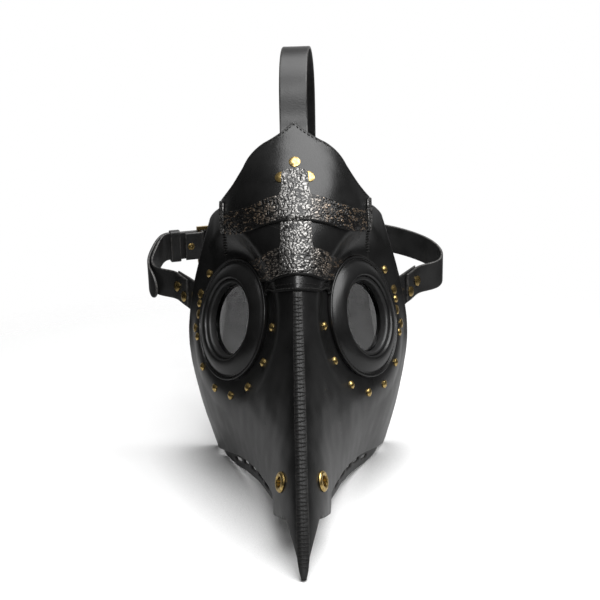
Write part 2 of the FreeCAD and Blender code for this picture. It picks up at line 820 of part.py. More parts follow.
STRAP_REAR_HEIGHT = 163.5
BUCKLE_BAR = V(-88, 140, STRAP_REAR_HEIGHT)
BUCKLE_TURN = 18.0
ALONG = V(math.cos(math.radians(BUCKLE_TURN)), math.sin(math.radians(BUCKLE_TURN)), 0)
OUTWARD = V(-ALONG.y, ALONG.x, 0)
FOLD_OFFSET = 3.1
TAIL_OFFSET = 5.8


def buckle_point(along, outward):
    return BUCKLE_BAR + ALONG * along + OUTWARD * outward


class StrapPath:
    """A strap's centre curve through points; its width runs up the slope given at the start."""

    def __init__(self, points, half_width, start_lean=0.0, round_end=False):
        self.curve = Part.BSplineCurve()
        self.curve.interpolate(points)
        self.half_width = half_width
        self.start_lean = start_lean
        self.round_end = round_end

    def share(self, along):
        low, high = self.curve.FirstParameter, self.curve.LastParameter
        return low + (high - low) * along

    def half_width_at(self, along):
        if not self.round_end:
            return self.half_width
        rest = self.curve.length(self.share(min(along, 0.9999)), self.curve.LastParameter)
        short = max(self.half_width - rest, 0.0) / self.half_width
        return self.half_width * max(math.sqrt(1.0 - short * short), 0.18)

    def point(self, across, along):
        lean = self.start_lean * max(1.0 - along * 3.0, 0.0)
        centre = self.curve.value(self.share(along))
        sideways = self.curve.tangent(self.share(along))[0].cross(V(0, 0, 1)).normalize()
        direction = V(0, 0, 1) + sideways * lean
        return centre + direction * (self.half_width_at(along) * (2.0 * across - 1.0))

    def solid(self, count):
        half = mm("strap_thickness") / 2.0
        return sheet_solid(self.point, -half, half, 4, count)


def tab_centre(y):
    """Middle of the strap tab's height at a place along it."""
    return 128.0 + 0.21 * (y - 30.0)


def build_side_tab():
    outer = -mm("shell_thickness") - 0.2
    sheet = right_half_layer(outer - mm("strap_thickness"), outer)
    outline = [(32, tab_centre(32) - 19), (60, tab_centre(60) - 13.5), (88, tab_centre(88) - 12.5),
               (88, tab_centre(88) + 12.5), (60, tab_centre(60) + 13.5), (32, tab_centre(32) + 19)]
    return largest(sheet.common(side_prism(outline)))


def outside_tab(y):
    """Centre of a strap that lies on the outside of the right tab."""
    offset = -mm("shell_thickness") - 0.1 + mm("strap_thickness") / 2.0
    height = tab_centre(y)
    return sheet_point(form_point, up_at(height), around_at(height, y, "y"), offset)


def left_strap_points():
    tab = [outside_tab(y) for y in (71, 79, 87)]
    points = [V(-p.x, p.y, p.z) for p in tab]
    points += [V(-124.8, 99, 142.5), V(-128.3, 110, 147), V(-125.2, 122, 155)]
    points += [buckle_point(along, FOLD_OFFSET) for along in (-30, -22, -14, -7, 0)]
    return points


def strap_left_points():
    points = left_strap_points()
    for angle in range(60, -91, -30):
        turn = math.radians(angle)
        points.append(buckle_point(FOLD_OFFSET * math.cos(turn), FOLD_OFFSET * math.sin(turn)))
    points += [buckle_point(along, -FOLD_OFFSET) for along in (-4, -9, -14)]
    return points


def strap_right_points():
    points = [outside_tab(y) for y in (71, 79, 87)]
    points += [V(124.8, 99, 142.5), V(128.8, 110, 146.5), V(123, 124, 153), V(106, 136, 159.5),
               V(80, 145, 165), V(40, 150.5, 167.5), V(0, 153, 167), V(-30, 152.5, 165)]
    points += [buckle_point(along, across) for along, across in
               ((38, -3.8), (28, -3.8), (21.5, -3.7), (14, 0.2), (7, 5.0), (0, TAIL_OFFSET))]
    points += [buckle_point(along, TAIL_OFFSET) for along in (-7, -14, -22, -30)]
    points += [V(-128.4, 122.5, 155), V(-131.4, 110, 147), V(-128.9, 98, 140.5), V(-122.5, 88, 136.5)]
    return points


def build_straps():
    half = mm("strap_width") / 2.0
    left = StrapPath(strap_left_points(), half).solid(110)
    right = StrapPath(strap_right_points(), half, 0.0, True).solid(150)
    return left, right


PRONG_SLOT_HALF_WIDTH = 2.2
PRONG_SLOT = (1.5, 18.5)
FOLD_SLOT = (-7.5, 6.0)
FOLD_RIVET_PLACE = -9.0
FOLD_RIVET_RADIUS = 3.4
REAR_RIVET = V(7, 154.4, 167)
REAR_RIVET_GRIP = 6.0


def buckle_box(along, outward, half_height):
    """Box in the buckle's own directions, for slots in the leather."""
    box = Part.makeBox(along[1] - along[0], outward[1] - outward[0], 2 * half_height,
                       V(along[0], outward[0], -half_height))
    box.Placement = buckle_placement()
    return box


def buckle_placement():
    return FreeCAD.Placement(BUCKLE_BAR, FreeCAD.Rotation(V(0, 0, 1), BUCKLE_TURN))


def build_top_strap():
    """Strap over the crown, from inside the forehead lining back and down to the rear strap."""
    path = [(0, -14.2, 245.25), (0, -2.2, 258.25), (0, 9.8, 271.25), (0, 21.3, 285.3), (0, 27, 305),
            (0.5, 35, 325), (2, 52, 339), (4.5, 76, 340), (7, 100, 322), (8, 119, 288),
            (8, 132, 248), (7.5, 141, 212), (7, 146.5, 182), (7, 149.2, 160)]
    curve = Part.BSplineCurve()
    curve.interpolate([V(*point) for point in path])
    low, high = curve.FirstParameter, curve.LastParameter
    half_width = mm("top_strap_width") / 2.0

    def point(across, along):
        centre = curve.value(low + (high - low) * along)
        return centre + V(half_width * (1.0 - 2.0 * across), 0, 0)

    half = mm("strap_thickness") / 2.0
    return sheet_solid(point, -half, half, 4, 60)


# ---------------------------------------------------------------- turned and padded pieces

def eye_placement():
    rotation = FreeCAD.Rotation(EYE_SIDEWAYS, EYE_UPWARDS, EYE_AXIS, "ZXY")
    return FreeCAD.Placement(EYE_CENTRE, rotation)


def build_eye_ring():
    outer = SIZE["ring_outer_radius"]
    opening = SIZE["ring_opening_radius"]
    edge = SIZE["ring_edge_height"]
    crown = SIZE["ring_crown_height"]
    gap = SIZE["ring_seat_gap"]
    corners = [
        (opening, gap),
        (outer, gap),
        (outer, edge),
        (outer - 3.2, edge + 0.2),
        (outer - 4.0, edge - 0.6),
        (outer - 4.8, edge + 0.4, 13.0),
        (opening + 1.6, crown, 1.6),
        (opening, crown - 1.6),
    ]
    return revolve("eye_ring_right", corners, eye_placement())


def build_lens_cup():
    outer = SIZE["cup_outer_radius"]
    bore = SIZE["cup_inner_radius"]
    top = SIZE["ring_crown_height"] - 2.6
    back = -SIZE["cup_depth"]
    corners = [(bore, back), (outer, back), (outer, top), (bore + 1.2, top), (bore, top - 1.2)]
    return revolve("lens_cup_right", corners, eye_placement())


def build_lens():
    front = SIZE["lens_face_height"]
    back = front - SIZE["lens_thickness"]
    edge = SIZE["lens_radius"]
    corners = [(0, back), (edge, back), (edge, front), (0, front)]
    return revolve("lens_right", corners, eye_placement())


def build_retainer():
    front = SIZE["lens_face_height"] - SIZE["lens_thickness"] - SIZE["layer_gap"]
    outer = SIZE["lens_radius"]
    bore = outer - SIZE["retainer_width"]
    back = front - SIZE["retainer_thickness"]
    corners = [(bore, back), (outer, back), (outer, front), (bore, front)]
    return revolve("lens_retainer_right", corners, eye_placement())


EYELET_BARREL_WALL = 0.8
BARREL_CLEARANCE = 0.02
CUT_REACH = 10.0


def build_eyelet():
    bore = SIZE["eyelet_bore_radius"]
    flange = SIZE["eyelet_flange_radius"]
    gap = SIZE["layer_gap"]
    tail = -SIZE["shell_thickness"] - 2.2
    corners = [
        (bore, tail),
        (bore + EYELET_BARREL_WALL, tail),
        (bore + EYELET_BARREL_WALL, gap),
        (flange, gap),
        (flange, gap + 0.5, 2.4),
        (bore + 0.6, gap + 1.6),
        (bore, gap + 1.2),
    ]
    return revolve("nostril_eyelet_right", corners, nostril_seat())


def build_washer():
    bore = SIZE["eyelet_bore_radius"] + EYELET_BARREL_WALL + BARREL_CLEARANCE
    edge = SIZE["eyelet_flange_radius"] - 0.4
    front = -SIZE["shell_thickness"] - 0.35
    corners = [(bore, front - 0.9), (edge, front - 0.9), (edge, front), (bore, front)]
    return revolve("eyelet_washer_right", corners, nostril_seat())


def build_buckle_frame():
    body = new_body("buckle_frame", buckle_placement())
    length = SIZE["buckle_length"]
    height = SIZE["buckle_half_height"]
    wall = SIZE["buckle_wall"]
    sketch = new_sketch(body, "frame_outline", "XZ")
    add_profile(sketch, [
        (-2.2, height), (-2.2, height - wall), (length - wall, height - wall),
        (length - wall, -height + wall), (-2.2, -height + wall), (-2.2, -height),
        (length, -height), (length, height)])
    frame = pad(body, "frame_wall", sketch, SIZE["buckle_depth"])
    bar = new_sketch(body, "heel_bar_outline", "XY")
    circle = bar.addGeometry(Part.Circle(V(0, 0, 0), V(0, 0, 1), mm("buckle_bar_radius")))
    bar.addConstraint(Sketcher.Constraint("Coincident", circle, 3, ORIGIN_POINT[0], ORIGIN_POINT[1]))
    radius = bar.addConstraint(Sketcher.Constraint("Radius", circle, mm("buckle_bar_radius")))
    bar.setExpression("Constraints[%d]" % radius, SIZE["buckle_bar_radius"].text)
    pad(body, "heel_bar", bar, (height - wall) * 2.0 + 1.0)
    doc.recompute()
    return body


def build_prong():
    body = new_body("buckle_prong", buckle_placement())
    bore = SIZE["buckle_bar_radius"] + SIZE["prong_bore_clearance"]
    eye = new_sketch(body, "prong_outline", "XY")
    outer = mm("buckle_bar_radius") + 1.5
    low = SIZE["buckle_depth"] * 0.5 + 0.1
    high = low + SIZE["prong_thickness"]
    ring = eye.addGeometry(Part.Circle(V(0, 0, 0), V(0, 0, 1), bore.value))
    eye.addConstraint(Sketcher.Constraint("Coincident", ring, 3, ORIGIN_POINT[0], ORIGIN_POINT[1]))
    inner = eye.addConstraint(Sketcher.Constraint("Radius", ring, bore.value))
    eye.setExpression("Constraints[%d]" % inner, bore.text)
    rim = eye.addGeometry(Part.Circle(V(0, 0, 0), V(0, 0, 1), outer))
    eye.addConstraint(Sketcher.Constraint("Coincident", rim, 3, ORIGIN_POINT[0], ORIGIN_POINT[1]))
    rim_radius = eye.addConstraint(Sketcher.Constraint("Radius", rim, outer))
    eye.setExpression("Constraints[%d]" % rim_radius, (SIZE["buckle_bar_radius"] + 1.5).text)
    pad(body, "prong_eye", eye, SIZE["prong_thickness"] * 1.4)
    tongue = new_sketch(body, "tongue_outline", "XY")
    tip = SIZE["buckle_length"] + 1.2
    add_profile(tongue, [(0.4, low), (tip, low), (tip, high - 0.8), (tip - 2.0, high), (0.4, high)])
    pad(body, "prong_tongue", tongue, SIZE["prong_thickness"] * 1.3)
    return body


def build_keeper():
    body = new_body("strap_keeper", FreeCAD.Placement(
        buckle_point(KEEPER_PLACE, 0.0), FreeCAD.Rotation(V(0, 0, 1), BUCKLE_TURN)))
    half = SIZE["strap_width"] * 0.5 + 0.5
    wall = SIZE["keeper_wall"]
    low = as_size(FOLD_OFFSET) - SIZE["strap_thickness"] * 0.5 - 0.3
    high = as_size(TAIL_OFFSET) + SIZE["strap_thickness"] * 0.5 + 0.3
    sketch = new_sketch(body, "keeper_outline", "YZ")
    add_profile(sketch, [(low - wall, -half - wall), (high + wall, -half - wall),
                         (high + wall, half + wall), (low - wall, half + wall)])
    add_profile(sketch, [(low, -half), (high, -half), (high, half), (low, half)])
    pad(body, "keeper_loop", sketch, SIZE["keeper_width"])
    return body


KEEPER_PLACE = -22.0


# ---------------------------------------------------------------- assembly

def rivet_between(point, direction, grip, radius):
    rivet = cap_rivet(radius, mm("rivet_height"), RIVET_POST_RADIUS, grip)
    return Part.Compound([placed(rivet, FreeCAD.Placement(point, FreeCAD.Rotation(V(0, 0, 1), direction)))])


def strap_rivets_right():
    """Two rivets through the strap and its tab, just behind the rim."""
    shapes = []
    for y, drop in ((74.0, -4.0), (84.0, 0.5)):
        height = tab_centre(y) + drop
        up = up_at(height)
        around = around_at(height, y, "y")
        normal = (sheet_point(form_point, up, around, 1.0) - form_point(up, around)).normalize()
        outer = -mm("shell_thickness") - 0.1 + mm("strap_thickness")
        grip = 2 * mm("strap_thickness") + 0.9
        point = sheet_point(form_point, up, around, outer + 0.2)
        shapes.append(rivet_between(point, normal, grip, mm("rivet_radius")))
    return Part.Compound(shapes)


def build_everything():
    pieces = []
    studs = build_studs()
    tab_rivets = build_tab_rivets()
    eyelet = build_eyelet()
    washer = build_washer()
    doc.recompute()
    nostril_cut = Part.makeCylinder(mm("eyelet_bore_radius") + EYELET_BARREL_WALL + BARREL_CLEARANCE,
                                    2 * CUT_REACH, V(0, 0, -CUT_REACH))
    nostril_cut.Placement = nostril_seat()
    right_shell = feature("face_shell_right", build_shell(
        [studs, tab_rivets, nostril_cut, eyelet.Shape, washer.Shape]))
    tab = feature("side_tab_right", largest(build_side_tab().cut(tab_rivets).cut(studs)))
    chin = feature("chin_panel_right", build_chin_panel().cut(tab_rivets))
    stud_piece = feature("eye_studs_right", studs)
    tab_rivet_piece = feature("tab_rivets_right", tab_rivets)
    strap_rivet_shape = strap_rivets_right()
    ring = build_eye_ring()
    cup = build_lens_cup()
    lens = build_lens()
    retainer = build_retainer()
    doc.recompute()
    twins = [right_shell, tab, chin, stud_piece, tab_rivet_piece, ring, cup, lens, retainer, eyelet, washer]
    pieces += twins
    for piece in twins:
        pieces.append(mirrored(piece.Label.replace("_right", "_left"), piece))

    rivets = build_forehead_rivets()
    pieces.append(feature("forehead_rivets", rivets))
    pieces.append(feature("brow_flap", build_brow_flap()))
    pieces.append(feature("forehead_panel_lower", build_lower_panel()))
    pieces.append(feature("forehead_panel_upper", build_upper_panel(rivets)))
    pieces.append(feature("forehead_lining", build_lining(rivets)))
    pieces.append(feature("crackle_band_upper", build_band_upper()))
    pieces.append(feature("crackle_band_lower", build_band_lower()))
    pieces.append(feature("crackle_strip", build_crackle_strip(rivets)))
    pieces.append(feature("ridge_seam_strip", build_seam_strip()))

    left_rivets = strap_rivet_shape.mirror(V(0, 0, 0), V(1, 0, 0))
    left, right = build_straps()
    left_tab = tab.Shape.mirror(V(0, 0, 0), V(1, 0, 0))
    tab.Shape = largest(tab.Shape.cut(strap_rivet_shape))
    left = left.cut(buckle_box(FOLD_SLOT, (-9, 4.4), PRONG_SLOT_HALF_WIDTH)).cut(left_tab).cut(left_rivets)
    fold_face = FOLD_OFFSET + mm("strap_thickness") / 2
    fold_rivet = rivet_between(buckle_point(FOLD_RIVET_PLACE, fold_face), OUTWARD,
                               2 * fold_face, FOLD_RIVET_RADIUS)
    left = left.cut(fold_rivet)
    right = right.cut(buckle_box(PRONG_SLOT, (-3.0, 9.0), PRONG_SLOT_HALF_WIDTH))
    right = right.cut(tab.Shape).cut(strap_rivet_shape).cut(fold_rivet)
    top = build_top_strap().cut(rivets)
    rear_rivet = rivet_between(REAR_RIVET, V(0, 1, 0), REAR_RIVET_GRIP, mm("rivet_radius"))
    right = right.cut(rear_rivet).cut(top)
    top = top.cut(rear_rivet)
    pieces.append(feature("strap_rivets_right", strap_rivet_shape))
    pieces.append(feature("strap_rivets_left", left_rivets))
    pieces.append(feature("strap_left", largest(left)))
    pieces.append(feature("strap_right", largest(right)))
    pieces.append(feature("buckle_fold_rivet", fold_rivet))
    pieces.append(feature("top_strap", largest(top)))
    pieces.append(feature("top_strap_rivet", rear_rivet))
    pieces.append(build_buckle_frame())
    pieces.append(build_prong())
    pieces.append(build_keeper())
    doc.recompute()
    return pieces


# From the eye centres' plane to the middle of the overall length.
ROW_SHIFT = 11.6


def check_and_export(pieces):
    for item in doc.Objects:
        if "Invalid" in item.State or "Error" in item.State:
            raise RuntimeError("%s is %s" % (item.Label, item.State))
    for piece in pieces:
        if piece.Shape.isNull() or not piece.Shape.isValid():
            raise RuntimeError("%s has no valid shape" % piece.Label)
    os.makedirs("parts", exist_ok=True)
    for piece in pieces:
        shape = piece.Shape.copy()
        shape.translate(V(0, ROW_SHIFT, 0))
        shape.exportStep("parts/%s.step" % piece.Label)


check_and_export(build_everything())
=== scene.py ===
"""Looks of the plague doctor mask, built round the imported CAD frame.

All shapes are worked out in millimetres on the same moulded form as the CAD part and turned into
metres when a mesh is made. A place on the form is a pair (up, around): up runs from the table to
above the peak, around from the left rim (0) over the ridge (0.5) to the right rim (1).
"""
import math

import bmesh
import bpy
import numpy as np
from mathutils import Matrix, Vector, geometry, kdtree


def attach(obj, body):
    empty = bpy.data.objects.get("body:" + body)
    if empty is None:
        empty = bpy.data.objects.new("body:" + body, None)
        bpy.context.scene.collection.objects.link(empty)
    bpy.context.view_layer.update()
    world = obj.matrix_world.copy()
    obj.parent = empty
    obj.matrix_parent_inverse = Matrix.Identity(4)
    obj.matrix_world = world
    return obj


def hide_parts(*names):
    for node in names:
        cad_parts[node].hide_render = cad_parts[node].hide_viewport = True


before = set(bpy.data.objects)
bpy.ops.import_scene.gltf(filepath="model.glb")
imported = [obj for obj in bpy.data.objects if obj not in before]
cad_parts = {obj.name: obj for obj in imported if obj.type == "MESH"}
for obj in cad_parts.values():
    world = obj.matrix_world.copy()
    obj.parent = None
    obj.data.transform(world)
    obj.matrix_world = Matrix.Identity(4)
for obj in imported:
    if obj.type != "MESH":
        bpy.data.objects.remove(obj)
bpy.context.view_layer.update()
MM = 0.001
# The shapes are worked out with Y = 0 at the eye centres; the row's origin lies this far behind it.
ROW_SHIFT = np.array((0.0, 11.6, 0.0))

# ---------------------------------------------------------------- the moulded form

# Horizontal sections of one half of the form: height, control points (x, y) from ridge to rim.
FORM_SECTIONS = [
    (-10, [(0, -183), (4, -179), (11, -162), (18, -120), (38, -20), (64, 30), (72, 64), (76, 106)]),
    (28, [(0, -168), (7, -163), (17.5, -145), (22, -108), (44, -22), (76, 28), (83, 62), (90, 104)]),
    (60, [(0, -150), (7, -143), (16, -121), (26, -85), (57, -20), (85, 26), (89, 62), (98, 102)]),
    (95, [(0, -127), (7, -117), (17, -93), (33, -58), (62, -8), (86, 32), (92, 62), (114, 102)]),
    (134, [(0, -96), (7, -86), (17, -64), (32, -33), (51.4, 0), (76, 38), (90, 64), (120, 100)]),
    (170, [(0, -71), (8, -63), (19, -45), (32, -20), (46, 4), (65, 37), (81, 62), (112, 100)]),
    (200, [(0, -56), (11, -52), (25, -38), (38, -20), (51, 4), (64, 32), (73, 60), (92, 102)]),
    (230, [(0, -38), (13, -35), (28, -24), (42, -8), (54, 14), (62, 38), (67, 62), (76, 104)]),
    (262, [(0, -10), (14, -8), (28, 0), (40, 14), (48, 32), (54, 50), (58, 66), (62, 104)]),
    (296, [(0, 26), (10, 28), (20, 34), (30, 42), (38, 52), (44, 62), (48, 74), (50, 104)]),
]
POLES = np.array([[(-x, y, z) for x, y in half[:0:-1]] + [(x, y, z) for x, y in half]
                  for z, half in FORM_SECTIONS], float)

EYE_TURN = math.radians(57)
EYE_TILT = math.radians(15.5)
EYE_CENTRE = np.array((51.4, 0.0, 134.0))
EYE_AXIS = np.array((math.sin(EYE_TURN) * math.cos(EYE_TILT),
                     -math.cos(EYE_TURN) * math.cos(EYE_TILT), math.sin(EYE_TILT)))
EYE_SIDEWAYS = np.array((math.cos(EYE_TURN), math.sin(EYE_TURN), 0.0))
EYE_UPWARDS = np.cross(EYE_AXIS, EYE_SIDEWAYS)
FLAT_RADIUS = 50.0
BLEND_RADIUS = 76.0
FLAT_REACH = 30.0
MIRROR = np.array((-1.0, 1.0, 1.0))


def unit(vectors):
    vectors = np.asarray(vectors, float)
    return vectors / np.maximum(np.linalg.norm(vectors, axis=-1, keepdims=True), 1e-12)


def turned(angles, sideways, upwards):
    """Directions at angles from `sideways` towards `upwards`."""
    return sideways * np.cos(angles)[:, None] + upwards * np.sin(angles)[:, None]


def full_turn(count):
    return np.linspace(0, 2 * math.pi, count, endpoint=False)


def run_lengths(points):
    """Distance along a polyline at each of its points."""
    return np.r_[0, np.cumsum(np.linalg.norm(np.diff(points, axis=0), axis=1))]


def sampled(at, lengths, points):
    """Points of a polyline at distances along it."""
    return np.stack([np.interp(at, lengths, points[:, k]) for k in range(points.shape[1])], -1)


def spline_weights(count, places):
    """Weights of a clamped uniform cubic spline's control points at each place (0 to 1)."""
    degree = 3
    knots = np.r_[[0.0] * degree, np.linspace(0, 1, count - degree + 1), [1.0] * degree]
    places = np.clip(places, 0, 1 - 1e-9)
    weights = np.stack([(places >= knots[i]) & (places < knots[i + 1])
                        for i in range(len(knots) - 1)], 1).astype(float)
    for rank in range(1, degree + 1):
        raised = np.zeros((len(places), weights.shape[1] - 1))
        for i in range(raised.shape[1]):
            rise = knots[i + rank] - knots[i]
            fall = knots[i + rank + 1] - knots[i + 1]
            if rise > 0:
                raised[:, i] += (places - knots[i]) / rise * weights[:, i]
            if fall > 0:
                raised[:, i] += (knots[i + rank + 1] - places) / fall * weights[:, i + 1]
        weights = raised
    return weights


def plane_waves(points, scale, seed, count=9):
    """Smooth field between about -1 and 1 whose bumps are about `scale` across."""
    dice = np.random.default_rng(seed)
    field = np.zeros(len(points))
    for _ in range(count):
        direction = unit(dice.normal(size=3)) * dice.uniform(0.6, 1.5)
        field += np.sin(points @ direction * (2 * math.pi / scale) + dice.uniform(0, 2 * math.pi))
    return field / math.sqrt(count)


def pressed(points):
    """Flattens the form under each eye ring, and blends back to it outside."""
    side = np.where(points[:, :1] >= 0, 1.0, -1.0)
    turn = np.hstack([side, np.ones_like(side), np.ones_like(side)])
    arm = points * turn - EYE_CENTRE
    height = arm @ EYE_AXIS
    radius = np.linalg.norm(arm - height[:, None] * EYE_AXIS, axis=1)
    share = np.clip((BLEND_RADIUS - radius) / (BLEND_RADIUS - FLAT_RADIUS), 0, 1)
    share = np.where(np.abs(height) > FLAT_REACH, 0, share * share * (3 - 2 * share))
    return points - (height * share)[:, None] * EYE_AXIS * turn, share


def form(places):
    """Points of the form at places (up, around)."""
    places = np.atleast_2d(places)
    ups = spline_weights(POLES.shape[0], places[:, 0])
    rounds = spline_weights(POLES.shape[1], places[:, 1])
    rows = np.einsum("ni,ijk->njk", ups, POLES)
    return pressed(np.einsum("nj,njk->nk", rounds, rows))


STEP = 1e-3


def form_frame(places):
    """Points of the form, its derivatives along up and around, and its outward normals."""
    places = np.atleast_2d(places)
    here, flat = form(places)
    slopes = []
    for axis in (0, 1):
        shift = np.zeros(2)
        shift[axis] = STEP
        high = np.clip(places + shift, 0, 1)
        low = np.clip(places - shift, 0, 1)
        slopes.append((form(high)[0] - form(low)[0]) / (high - low)[:, axis:axis + 1])
    normal = unit(np.cross(slopes[1], slopes[0]))
    wave = plane_waves(here, 46, 3) * 0.22 + plane_waves(here, 17, 4) * 0.07
    return here + normal * (wave * (1 - flat))[:, None], slopes[0], slopes[1], normal


TABLE_PLACES = np.array([(up, around) for up in np.linspace(0, 1, 90)
                         for around in np.linspace(0, 1, 181)])
TABLE_POINTS = form(TABLE_PLACES)[0]


def solve_places(targets, wanted):
    """Places on the form where two coordinates (the axes in `wanted`) reach their targets.

    Side views (axes 1 and 2) are solved on the right half."""
    targets = np.asarray(targets, float)
    right = wanted[0] == 1
    usable = TABLE_PLACES[:, 1] >= 0.5 if right else np.ones(len(TABLE_PLACES), bool)
    table = TABLE_POINTS[usable][:, wanted]
    starts = TABLE_PLACES[usable]
    nearest = [np.argmin(((table - target) ** 2).sum(1)) for target in targets]
    places = starts[nearest].copy()
    for _ in range(12):
        here = form(places)[0][:, wanted]
        jacobian = np.zeros((len(places), 2, 2))
        for axis in (0, 1):
            shift = np.zeros(2)
            shift[axis] = 1e-4
            sign = np.where(places[:, axis] > 0.5, -1.0, 1.0)[:, None]
            moved = form(places + shift * sign)[0][:, wanted]
            jacobian[:, :, axis] = (moved - here) / (1e-4 * sign)
        step = np.linalg.solve(jacobian, (targets - here)[:, :, None])[:, :, 0]
        places = np.clip(places + np.clip(step, -0.05, 0.05), 0, 1)
        if right:
            places[:, 1] = np.maximum(places[:, 1], 0.5)
    return places


FRONT = [0, 2]
SIDE = [1, 2]


def arc_through(start, middle, end, count=24):
    """Points of the circle through three points, start to end."""
    (ax, ay), (bx, by), (cx, cy) = start, middle, end
    det = 2 * (ax * (by - cy) + bx * (cy - ay) + cx * (ay - by))
    if abs(det) < 1e-6:
        return line_to([start, end])
    ux = ((ax * ax + ay * ay) * (by - cy) + (bx * bx + by * by) * (cy - ay)
          + (cx * cx + cy * cy) * (ay - by)) / det
    uy = ((ax * ax + ay * ay) * (cx - bx) + (bx * bx + by * by) * (ax - cx)
          + (cx * cx + cy * cy) * (bx - ax)) / det
    first, via, last = (math.atan2(y - uy, x - ux) for x, y in (start, middle, end))
    turn = 2 * math.pi
    sweep = (last - first) % turn
    if (via - first) % turn > sweep:
        sweep -= turn
    radius = math.hypot(ax - ux, ay - uy)
    angles = first + sweep * np.linspace(0, 1, count)
    return np.c_[ux + radius * np.cos(angles), uy + radius * np.sin(angles)]


def line_to(points, gap=1.0):
    """Polyline resampled to steps of about `gap`."""
    points = np.asarray(points, float)
    lengths = run_lengths(points)
    count = max(int(lengths[-1] / gap), 2) + 1
    return sampled(np.linspace(0, lengths[-1], count), lengths, points)


def softened(points, passes=2):
    """Cuts the corners of an open polyline, whose ends stay."""
    points = np.asarray(points, float)
    for _ in range(passes):
        near = points[:-1] * 0.75 + points[1:] * 0.25
        far = points[:-1] * 0.25 + points[1:] * 0.75
        between = np.stack([near, far], 1).reshape(-1, points.shape[1])
        points = np.vstack([points[:1], between, points[-1:]])
    return points


def joined(*parts, apart=0.05):
    """One closed loop from parts that follow each other, at an even spacing."""
    kept = []
    for part in parts:
        for point in np.asarray(part, float):
            if not kept or np.linalg.norm(point - kept[-1]) > apart:
                kept.append(point)
    while np.linalg.norm(kept[0] - kept[-1]) < apart:
        kept.pop()
    return np.array(kept)


def even_loop(places, gap):
    """Closed loop of places on the form resampled by true length, corners kept."""
    points = form(places)[0]
    closed = np.vstack([points, points[:1]])
    closed_places = np.vstack([places, places[:1]])
    result = []
    carried = 0.0
    for k in range(len(places)):
        length = np.linalg.norm(closed[k + 1] - closed[k])
        before = unit(closed[k] - points[k - 1])
        corner = before @ unit(closed[k + 1] - closed[k]) < math.cos(math.radians(22))
        if corner or carried >= gap * 0.6 or k == 0:
            result.append(closed_places[k])
            carried = 0.0
        steps = int(length / gap)
        for step in range(1, steps + 1):
            share = step / (steps + 1)
            result.append(closed_places[k] * (1 - share) + closed_places[k + 1] * share)
        carried += length / (steps + 1)
    return np.array(result)


# ---------------------------------------------------------------- leather sheets on the form

DOMAIN = np.array((330.0, 520.0))


def inside_loops(points, loops):
    """Even-odd test of plane points against closed loops."""
    inside = np.zeros(len(points), bool)
    px, py = points[:, 0], points[:, 1]
    for loop in loops:
        following = np.roll(loop, -1, axis=0)
        for (x1, y1), (x2, y2) in zip(loop, following):
            if y1 == y2:
                continue
            crosses = (y1 > py) != (y2 > py)
            inside ^= crosses & (px < (x2 - x1) * (py - y1) / (y2 - y1) + x1)
    return inside


def grid_places(loops, spacing):
    """Staggered rows of places that fill the loops' range at an even true spacing."""
    everything = np.vstack(loops)
    low_up, high_up = everything[:, 0].min(), everything[:, 0].max()
    low_around, high_around = everything[:, 1].min(), everything[:, 1].max()
    ridge = np.c_[np.linspace(low_up, high_up, 60), np.full(60, (low_around + high_around) / 2)]
    lengths = run_lengths(form(ridge)[0])
    rows = max(int(lengths[-1] / (spacing * 0.87)), 2)
    ups = np.interp(np.linspace(0, lengths[-1], rows + 1), lengths, ridge[:, 0])
    sample = np.linspace(low_around, high_around, 90)
    places = []
    for row, up in enumerate(ups):
        line = form(np.c_[np.full(90, up), sample])[0]
        along = run_lengths(line)
        at = np.arange((row % 2) * spacing / 2, along[-1], spacing)
        arounds = np.interp(at, along, sample)
        places.append(np.c_[np.full(len(arounds), up), arounds])
    return np.vstack(places)


def loop_inward(places, is_hole):
    """Unit vectors on the form that point from a loop into the leather."""
    points, _, _, normal = form_frame(places)
    tangent = unit(np.roll(points, -1, axis=0) - np.roll(points, 1, axis=0))
    flat = places * DOMAIN
    following = np.roll(flat, -1, axis=0)
    area = (flat[:, 1] * following[:, 0] - following[:, 1] * flat[:, 0]).sum()
    sign = 1.0 if area > 0 else -1.0
    if is_hole:
        sign = -sign
    return points, unit(np.cross(normal, tangent)) * sign, normal


def moved_places(places, shift):
    """Places after a small move `shift` (mm, along the form)."""
    _, along_up, along_round, _ = form_frame(places)
    basis = np.stack([along_up, along_round], 2)
    steps = np.einsum("nij,nj->ni", np.linalg.pinv(basis), shift)
    return places + steps


